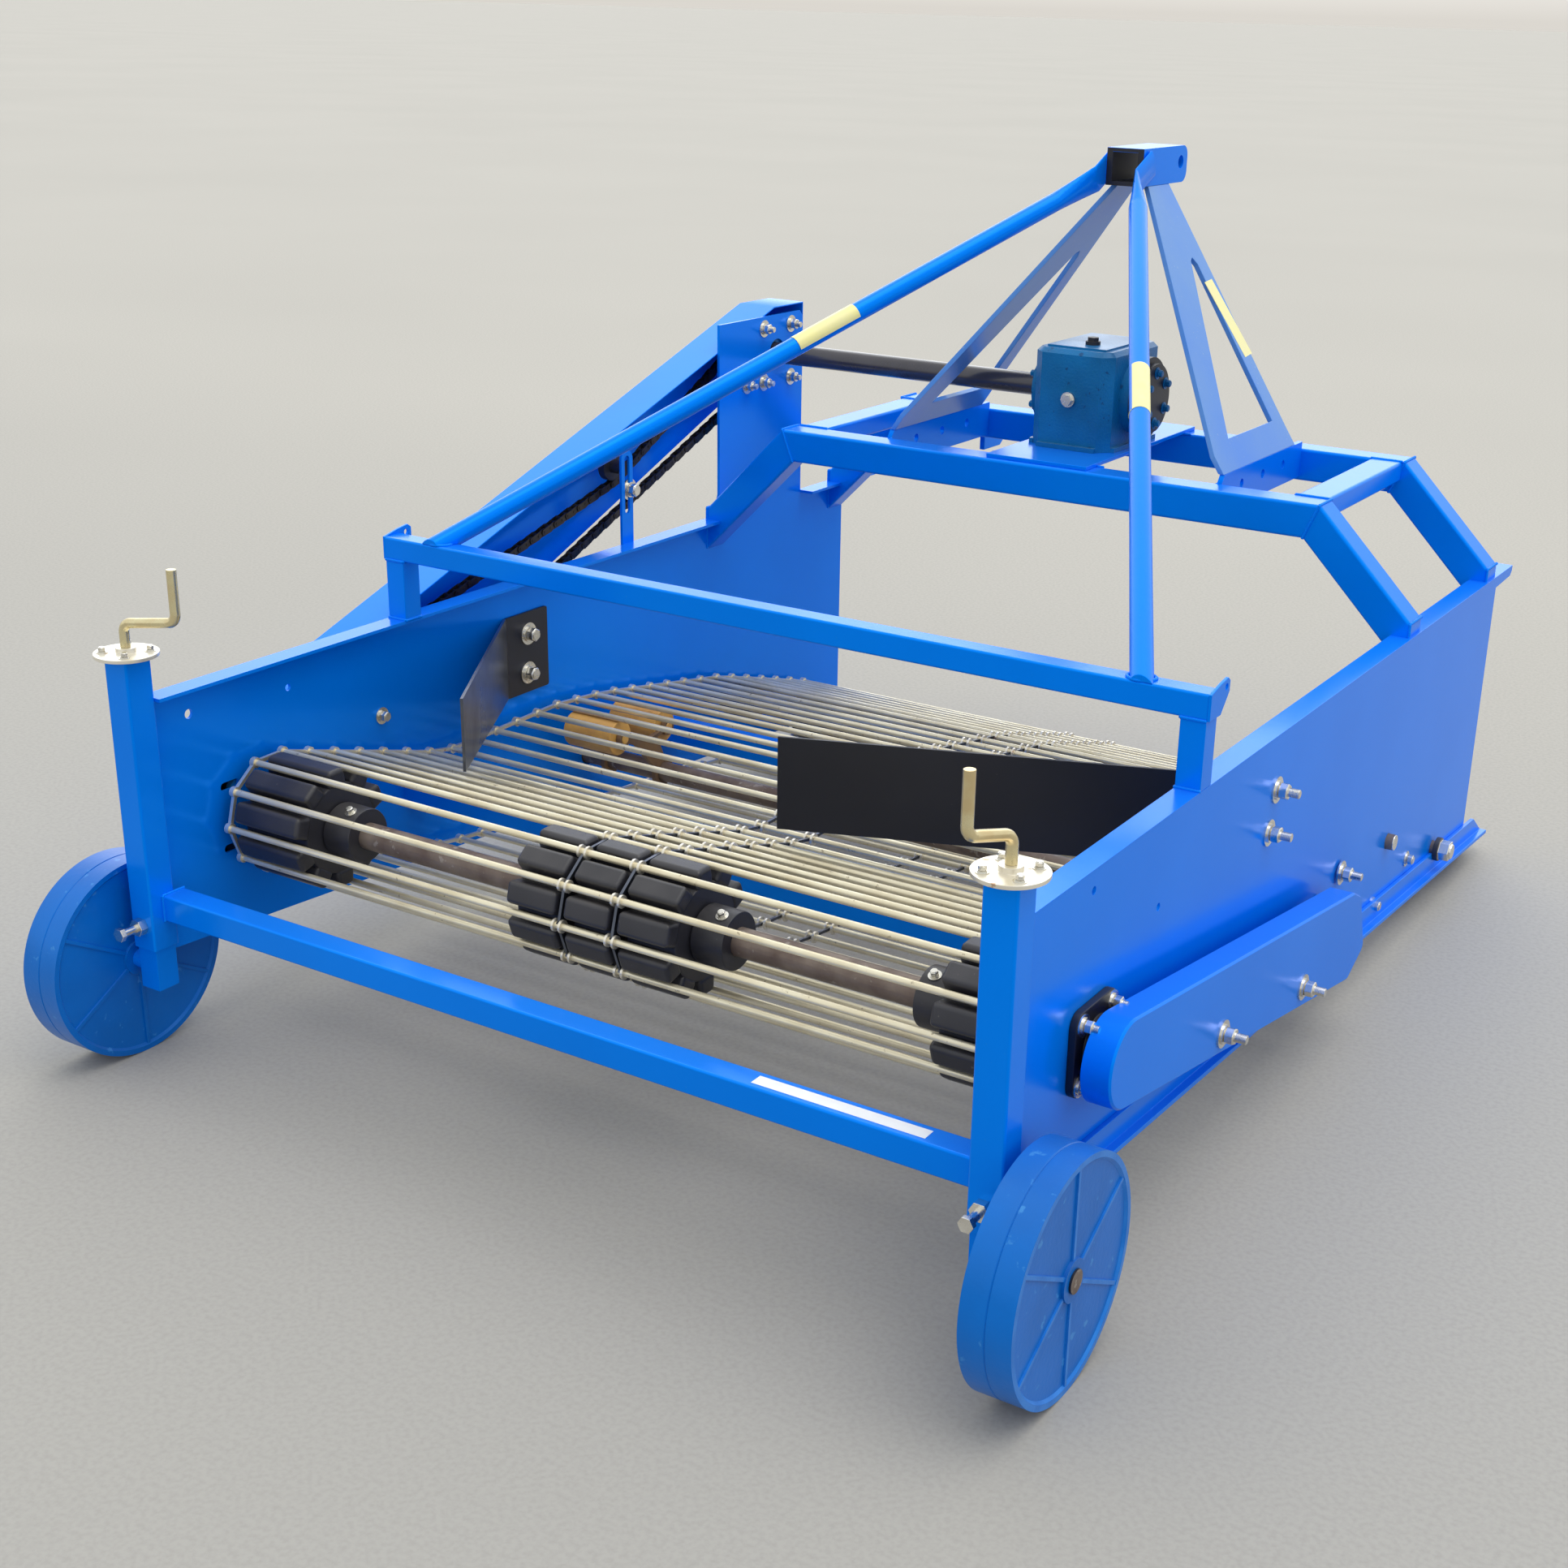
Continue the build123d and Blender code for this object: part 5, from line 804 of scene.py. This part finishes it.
def along(line, pitch):
    """Evenly spaced steps (from, to, length) round a closed line, near a given pitch."""
    closed = line + line[:1]
    lengths = [(b - a).length for a, b in zip(closed, closed[1:])]
    count = 2 * round(sum(lengths) / pitch / 2)
    step = sum(lengths) / count
    marks, walked, wanted = [], 0.0, 0.0
    for a, b, length in zip(closed, closed[1:], lengths):
        while length and wanted <= walked + length and len(marks) < count:
            marks.append(a + (b - a) * ((wanted - walked) / length))
            wanted += step
        walked += length
    return [(p, q, (q - p).length) for p, q in zip(marks, marks[1:] + marks[:1])]


class DIGGER_OT_chain(Operator):
    """Roller chain of the main drive, with its sprockets and idler"""
    bl_idname = "digger.chain"
    bl_label = "Drive chain"

    def execute(self, context):
        sizes = context.scene.digger_chain
        centres = []
        for part in loose_parts("chain_sprockets"):
            ys = [v.co.y for v in part.data.vertices]
            zs = [v.co.z for v in part.data.vertices]
            centres.append(((min(ys) + max(ys)) / 2, (min(zs) + max(zs)) / 2,
                            (max(ys) - min(ys)) / 2))
            bpy.data.objects.remove(part)
        low, high = sorted(centres, key=lambda c: c[1])
        idler_low, idler_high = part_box("chain_idler")
        idler_r = (idler_high.z - idler_low.z) / 2
        x = middle("drive_chain").x
        idler = middle("chain_idler")
        seat = 0.0073  # from a wheel's rim out to the pins
        line = belt([(high[0], high[1], high[2] + seat, 1),
                     (idler.y, idler.z, idler_r + seat, -1),
                     (low[0], low[1], low[2] + seat, 1)])
        steps = along(line, sizes.pitch)
        pitch = steps[0][2]
        plate_r, plate_t = 0.0075, 0.0016
        inner_x, outer_x = (-0.0062, 0.0046), (-0.0080, 0.0064)  # where side plates start
        roller_half, pin_r, pin_half = 0.0045, 0.0028, 0.0088

        def plate(offset):
            """One long side plate of a link with round ends."""
            clear()
            bpy.ops.mesh.primitive_circle_add(vertices=12, radius=plate_r, fill_type="NGON",
                                              rotation=(0, pi / 2, 0))
            obj = bpy.context.object
            settle(obj)
            select_verts(obj, lambda co: co.y > 1e-4)
            bpy.ops.object.mode_set(mode="EDIT")
            bpy.ops.transform.translate(value=(0, pitch, 0))
            bpy.ops.mesh.select_all(action="SELECT")
            bpy.ops.mesh.extrude_region_move(TRANSFORM_OT_translate={"value": (plate_t, 0, 0)})
            bpy.ops.mesh.select_all(action="SELECT")
            bpy.ops.mesh.normals_make_consistent(inside=False)
            bpy.ops.transform.translate(value=(offset, 0, 0))
            done()
            return obj

        inner = join("inner_link", [plate(start) for start in inner_x] + [
            cylinder("roller", sizes.roller, (-roller_half, y, 0), (roller_half, y, 0), 10)
            for y in (0, pitch)])
        outer = join("outer_link", [plate(start) for start in outer_x] + [
            cylinder("pin", pin_r, (-pin_half, y, 0), (pin_half, y, 0), 8) for y in (0, pitch)])
        places = [
            Matrix.Translation((x, p.x, p.y)) @ Matrix.Rotation(atan2(q.y - p.y, q.x - p.x), 4, "X")
            for p, q, _ in steps]
        chain = join("roller_chain", [spread(inner, places[0::2], "inner_links"),
                                      spread(outer, places[1::2], "outer_links")])
        clad(chain, "chain", "root", "drive_chain")
        dress("chain_idler", "rubber", edge=0.001)

        disc, hub_r, hub_in, hub_out = 0.003, 0.034, 0.014, 0.012
        tooth_half, tooth_foot, tooth_tip = 0.0035, 0.004, 0.006
        wheels = []
        for y, z, radius in (low, high):
            teeth = int(2 * pi * (radius + tooth_tip) / pitch)
            wheels.append(cylinder("disc", radius, (x - disc, y, z), (x + disc, y, z), 48))
            wheels.append(cylinder("hub", hub_r, (x - hub_in, y, z), (x + hub_out, y, z), 24))
            tooth = block("tooth", (-disc, -tooth_half, -tooth_foot), (disc, tooth_half, tooth_tip))
            turned = [
                Matrix.Translation((x, y, z)) @ Matrix.Rotation(2 * pi * n / teeth, 4, "X")
                @ Matrix.Translation((0, 0, radius)) for n in range(teeth)]
            wheels.append(spread(tooth, turned, "teeth"))
        sprockets = join("chain_wheels", wheels)
        clad(sprockets, "chain", "root", "chain_sprockets")
        return {"FINISHED"}


# Radius and height as shares of a bolt's size across flats, and number of sides
WASHER, SPRING_RING, HEXAGON = (0.92, 0.12, 24), (0.66, 0.14, 16), (0.577, 0.62, 6)
DOME_R, DOME_H, THREAD_R, CORE_R, HEX_EDGE = 0.40, 0.06, 0.31, 0.27, 0.07
THREAD_PITCH, THREAD_RIDGE, CORE_LAP = 0.002, 0.0012, 0.001
TURN_STEP = 0.4             # each bolt of a group is turned this much more than the last


def hex_bolt(name, across, length):
    """Washer, spring ring, hexagon, and a threaded end or a dome, standing up from z = 0."""
    parts, top = [], 0
    for radius, height, sides in (WASHER, SPRING_RING, HEXAGON):
        foot, top = top, top + across * height
        parts.append(cylinder(name, across * radius, (0, 0, foot), (0, 0, top), sides))
    round_edges(parts[-1], across * HEX_EDGE, segments=1)
    for turn in range(round(length / THREAD_PITCH)):
        z = top + THREAD_PITCH * turn
        parts.append(cylinder(name, across * THREAD_R, (0, 0, z), (0, 0, z + THREAD_RIDGE), 12))
    if length:
        start, end = top - CORE_LAP, top + length
        parts.append(cylinder(name, across * CORE_R, (0, 0, start), (0, 0, end), 12))
    else:
        dome_top = top + across * DOME_H
        parts.append(cylinder(name, across * DOME_R, (0, 0, top), (0, 0, dome_top), 16))
    bolt = join(name, parts)
    smooth(bolt, 30)
    return bolt


class DIGGER_OT_fasteners(Operator):
    """Zinc plated bolts, nuts and set screws"""
    bl_idname = "digger.fasteners"
    bl_label = "Fasteners"

    def execute(self, context):
        right = (1, 0, 0)
        case_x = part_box("chain_case")[1].x
        inner = -PLATE_INNER_X
        web_y, web_z = WEB_SHAFT
        drive_y, drive_z = CROSS_SHAFT
        hub_y, hub_z = cos(radians(112)), sin(radians(112))  # way out of the rubber hubs
        table = [
            # across flats, threaded length, (place, direction) of each
            (0.024, 0.018, [
                (at(PLATE_X, 0.910, 0.532), right), (at(PLATE_X, 0.892, 0.465), right),
                (at(PLATE_X + 0.004, 1.280, 0.265), right), (at(case_x, 0.578, 0.263), right),
                (at(case_x, 0.931, 0.199), right)]),
            (0.024, 0.0, [
                (at(inner + 0.005, 0.949, 0.513), right), (at(inner + 0.005, 0.945, 0.435), right),
                (at(-PLATE_X - 0.006, 1.299, 0.734), right)]),
            (0.017, 0.0, [
                (at(inner, 0.544, 0.453), right), (at(PLATE_X, 1.510, 0.120), right),
                (at(PLATE_X, 1.700, 0.150), right)]),
            (0.020, 0.010, [
                (at(inner, drive_y + dy, drive_z + dz), right)
                for dy, dz in ((-0.053, -0.058), (0.053, -0.058), (-0.053, 0.058), (0.053, 0.058),
                               (-0.118, -0.056))]),
            (0.018, 0.008, [
                (at(side * (PLATE_X + 0.012), web_y + dy, web_z + dz), (side, 0, 0))
                for side in (-1, 1) for dy in (-0.045, 0.045) for dz in (-0.045, 0.045)]),
            (0.011, 0.0, [
                (at(x, web_y + RUBBER_HUB_R * hub_y, web_z + RUBBER_HUB_R * hub_z),
                 (0, hub_y, hub_z))
                for x in (-0.551, 0.191, 0.551)]),
        ]
        groups = []
        for across, length, places in table:
            pattern = hex_bolt("bolt", across, length)
            turned = [facing(p, d, TURN_STEP * i) for i, (p, d) in enumerate(places)]
            groups.append(spread(pattern, turned, "bolts"))
        clad(join("bolts", groups), "zinc")
        dress("set_screws", "zinc", edge=0.001)

        screws = []
        cover_x, cover_r, cap_share = -0.108, 0.062, 0.8
        box_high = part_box("gearbox")[1]
        drive = middle("cross_shaft")
        for turn in range(6):
            a = radians(30 + 60 * turn)
            around = Vector((0, cover_r * cos(a), cover_r * sin(a)))
            on_cover = Vector((cover_x, drive.y, drive.z)) + around
            on_cap = Vector((box_high.x, drive.y, drive.z)) + around * cap_share
            screws += [facing(on_cover, (-1, 0, 0)), facing(on_cap, right)]
        pattern = hex_bolt("bolt", 0.013, 0.0)
        clad(spread(pattern, screws, "gearbox_screws"), "cast_enamel")
        return {"FINISHED"}


class DIGGER_OT_cranks(Operator):
    """Leg cranks and their flanges"""
    bl_idname = "digger.cranks"
    bl_label = "Cranks"

    def execute(self, context):
        for side in ("left", "right"):
            dress("crank_" + side, "yellow_zinc", edge=0.001)
            smooth(bpy.context.object, 50)
            dress("jack_flange_" + side, "cream_zinc", edge=0.001)
        pattern = hex_bolt("bolt", 0.010, 0.0)
        leg_x, ring, flange = 0.775, 0.036, 0.006
        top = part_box("leg_tube_right")[1].z + flange
        places = [facing(at(side * leg_x + ring * cos(a), ring * sin(a), top), (0, 0, 1))
                  for side in (-1, 1) for a in map(radians, (45, 135, 225, 315))]
        clad(spread(pattern, places, "flange_bolts"), "zinc")
        return {"FINISHED"}


class DIGGER_OT_sheets(Operator):
    """Share, deflector and separator blade"""
    bl_idname = "digger.sheets"
    bl_label = "Share and deflectors"

    def execute(self, context):
        dress("deflector", "black_enamel_and_shade", edge=0.0008)
        blade = dress("separator_blade", "dark_steel", edge=0.0008)
        flange = 0.0052
        flange_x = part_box("separator_blade")[0].x + flange
        touch_up(blade, "black_enamel_and_shade", lambda c: c.x < flange_x)
        dress("digging_share", "worn_share", edge=0.001)
        return {"FINISHED"}


BRACE_HEAD = (0.043, 1.864, 1.358)
BRACE_FOOT_Z = 0.773
BAND_R, BAND_EDGE = 0.0186, 0.30        # faces that face the front less than this go
BRACE_STICKERS = (
    # side, share of the way up the brace, length, front
    (-1, 0.555, 0.140, (0.25, -0.45, 0.86)),
    (1, 0.497, 0.140, (0.70, -0.60, 0.40)),
)
MAST_STICKER = ((0.1585, 1.9855, 1.1666), (0.2530, 2.0000, 1.0256))    # upper and lower end
MAST_OUT = (0.8307, 0.0, 0.5567)        # which way the right mast plate faces
MAST_STICKER_HALF = 0.020
TUBE_STICKER_X = (0.394, 0.667)


class DIGGER_OT_labels(Operator):
    """Blank stickers on the braces, the mast and the rear tube"""
    bl_idname = "digger.labels"
    bl_label = "Blank stickers"

    def execute(self, context):
        sizes = context.scene.digger_labels
        stickers = []
        foot_x, foot_back = BRACE_FOOT
        head_x, head_back, head_z = BRACE_HEAD
        for side, share, length, front in BRACE_STICKERS:
            foot = at(side * foot_x, foot_back, BRACE_FOOT_Z)
            head = at(side * head_x, head_back, head_z)
            way = (head - foot).normalized()
            start = foot + (head - foot) * share
            band = cylinder("band", BAND_R, start - way * length / 2, start + way * length / 2, 32)
            edit_chosen(band, "FACE", lambda face: face.normal.dot(Vector(front)) < BAND_EDGE)
            bpy.ops.mesh.delete(type="FACE")
            done()
            modify(band, "SOLIDIFY", thickness=sizes.thick, offset=1.0)
            smooth(band, 40)
            stickers.append(band)
        top, low = (at(*end) for end in MAST_STICKER)
        out = Vector(MAST_OUT)
        way = (low - top).normalized()
        wide = out.cross(way)
        flat = block("mast_sticker", (-MAST_STICKER_HALF, 0, -sizes.thick),
                     (MAST_STICKER_HALF, (low - top).length, sizes.thick))
        flat.matrix_world = Matrix.Translation(top) @ Matrix((wide, way, out)).transposed().to_4x4()
        settle(flat)
        stickers.append(flat)
        clad(join("stickers", stickers), "yellow_label")

        low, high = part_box("rear_cross_tube")
        left, right = TUBE_STICKER_X
        strip = block("tube_sticker", (left, low.y + 0.010, high.z),
                      (right, high.y - 0.012, high.z + sizes.thick))
        round_edges(strip, sizes.thick / 3, segments=1)
        clad(strip, "white_label")
        return {"FINISHED"}


FLOOR_SIZE = 900
SUN_WAY, SUN_WIDTH = (0.30, 0.10, 1.0), 50      # toward the lamp, and degrees across
SUN_COLOUR = (1.0, 0.98, 0.95)
CAMERA_PLACE = (1.8188, -2.1019, 1.6678)
CAMERA_ANGLES = (31.1, 21.18, 1.43)     # azimuth, elevation and roll in degrees
CAMERA_SHIFT = (-0.0435, 0.0238)
FAR_FROM, FAR_TO = -4, 4                # painted light: where the floor starts and ends being painted lighter ahead
STAIN, GRIT = (0.29, 0.275, 0.25), (0.27, 0.26, 0.24)
HORIZON, CLOUD = (0.70, 0.67, 0.62), (0.95, 0.98, 1.0)
HAZE_HEIGHT = 0.12                      # height at which the horizon's tone is gone
GLOW_WAY, GLOW_START = (-0.48, 0.80, 0.36), 0.72


class DIGGER_OT_stage(Operator):
    """Floor, lamps and camera"""
    bl_idname = "digger.stage"
    bl_label = "Stage"

    def execute(self, context):
        scene = context.scene
        sizes = scene.digger_stage
        clear()
        bpy.ops.mesh.primitive_plane_add(size=FLOOR_SIZE, location=(0, 0, 0))
        floor = context.object
        floor.name = "floor"
        floor.data.materials.append(self.concrete(sizes))
        self.sky(scene, sizes)

        bpy.ops.object.light_add(type="SUN", location=(-2, -2, 5))
        sun = context.object
        sun.name = "key"
        sun.data.energy = sizes.key
        sun.data.angle = radians(SUN_WIDTH)
        sun.data.color = SUN_COLOUR
        sun.rotation_euler = Vector(SUN_WAY).to_track_quat("Z", "Y").to_euler()

        data = bpy.data.cameras.new("camera")
        data.lens = sizes.lens
        data.sensor_width = 36
        data.shift_x, data.shift_y = CAMERA_SHIFT
        data.clip_end = 2000
        camera = bpy.data.objects.new("camera", data)
        scene.collection.objects.link(camera)
        azimuth, elevation, roll = map(radians, CAMERA_ANGLES)
        level = cos(elevation)
        back = Vector((sin(azimuth) * level, -cos(azimuth) * level, sin(elevation)))
        right = Vector((cos(azimuth), sin(azimuth), 0))
        up = back.cross(right)
        side = cos(roll) * right + sin(roll) * up
        top = cos(roll) * up - sin(roll) * right
        turn = Matrix((side, top, back)).transposed().to_4x4()
        camera.matrix_world = Matrix.Translation(at(*CAMERA_PLACE)) @ turn
        scene.camera = camera
        scene.view_settings.view_transform = "Standard"
        return {"FINISHED"}

    def concrete(self, sizes):
        """Pale concrete with painted light: its colour brightens further ahead."""
        material = bpy.data.materials.new("concrete")
        material.use_nodes = True
        nodes = Nodes(material.node_tree)
        shader = material.node_tree.nodes["Principled BSDF"]
        shader.inputs["Roughness"].default_value = 0.9
        shader.inputs["Specular IOR Level"].default_value = 0.2
        place = nodes.add("TexCoord").outputs["Object"]
        ahead = nodes.add("SeparateXYZ", {"Vector": place}).outputs["Y"]
        base = nodes.mix(nodes.remap(ahead, FAR_FROM, FAR_TO, 0, 1),
                         tuple(sizes.floor), tuple(sizes.floor_far))
        stains = nodes.remap(nodes.noise(place, 0.30, 2), 0.35, 0.7, 0, 0.10)
        base = nodes.mix(stains, base, STAIN)
        grit = nodes.remap(nodes.noise(place, 120, 4), 0.40, 0.70, 0, 0.32)
        nodes.join(nodes.mix(grit, base, GRIT), shader.inputs["Base Color"])
        return material

    def sky(self, scene, sizes):
        """Even cloud, brighter low down ahead of the machine."""
        world = bpy.data.worlds.new("sky")
        scene.world = world
        world.use_nodes = True
        nodes = Nodes(world.node_tree)
        backdrop = world.node_tree.nodes["Background"]
        around = nodes.add("TexCoord").outputs["Generated"]
        height = nodes.add("SeparateXYZ", {"Vector": around}).outputs["Z"]
        low = nodes.remap(height, 0.0, HAZE_HEIGHT, 0, 1)
        nodes.join(nodes.mix(low, HORIZON, CLOUD), backdrop.inputs["Color"])
        toward = nodes.add("VectorMath", {0: around, 1: GLOW_WAY}, operation="DOT_PRODUCT")
        toward = toward.outputs["Value"]
        glow = nodes.times(nodes.remap(toward, GLOW_START, 1.0, 0, sizes.glow), low)
        strength = nodes.add("Math", {0: glow, 1: sizes.sky}, operation="ADD").outputs["Value"]
        nodes.join(strength, backdrop.inputs["Strength"])


STEPS = ("frame", "welds", "gearbox", "wheels", "web", "rollers", "chain", "fasteners",
         "cranks", "sheets", "labels", "stage")


class DIGGER_PT_panel(Panel):
    """Buttons for each group of pieces"""
    bl_label = "Potato Digger"
    bl_idname = "DIGGER_PT_panel"
    bl_space_type = "VIEW_3D"
    bl_region_type = "UI"
    bl_category = "Digger"

    def draw(self, context):
        for step in STEPS:
            self.layout.operator("digger." + step)


GROUPS = (
    (DiggerPaint, "digger_paint"),
    (DiggerWeb, "digger_web"),
    (DiggerLabels, "digger_labels"),
    (DiggerChain, "digger_chain"),
    (DiggerStage, "digger_stage"),
)
CLASSES = (
    DIGGER_OT_frame, DIGGER_OT_welds, DIGGER_OT_gearbox, DIGGER_OT_wheels, DIGGER_OT_web,
    DIGGER_OT_rollers, DIGGER_OT_chain, DIGGER_OT_fasteners, DIGGER_OT_cranks,
    DIGGER_OT_sheets, DIGGER_OT_labels, DIGGER_OT_stage, DIGGER_PT_panel,
)


def register():
    for group, name in GROUPS:
        bpy.utils.register_class(group)
        setattr(bpy.types.Scene, name, PointerProperty(type=group))
    for cls in CLASSES:
        bpy.utils.register_class(cls)


def unregister():
    for cls in reversed(CLASSES):
        bpy.utils.unregister_class(cls)
    for group, name in reversed(GROUPS):
        delattr(bpy.types.Scene, name)
        bpy.utils.unregister_class(group)


def main():
    """Build every piece in order."""
    register()
    for step in STEPS:
        getattr(bpy.ops.digger, step)()


if __name__ == "__main__":
    main()
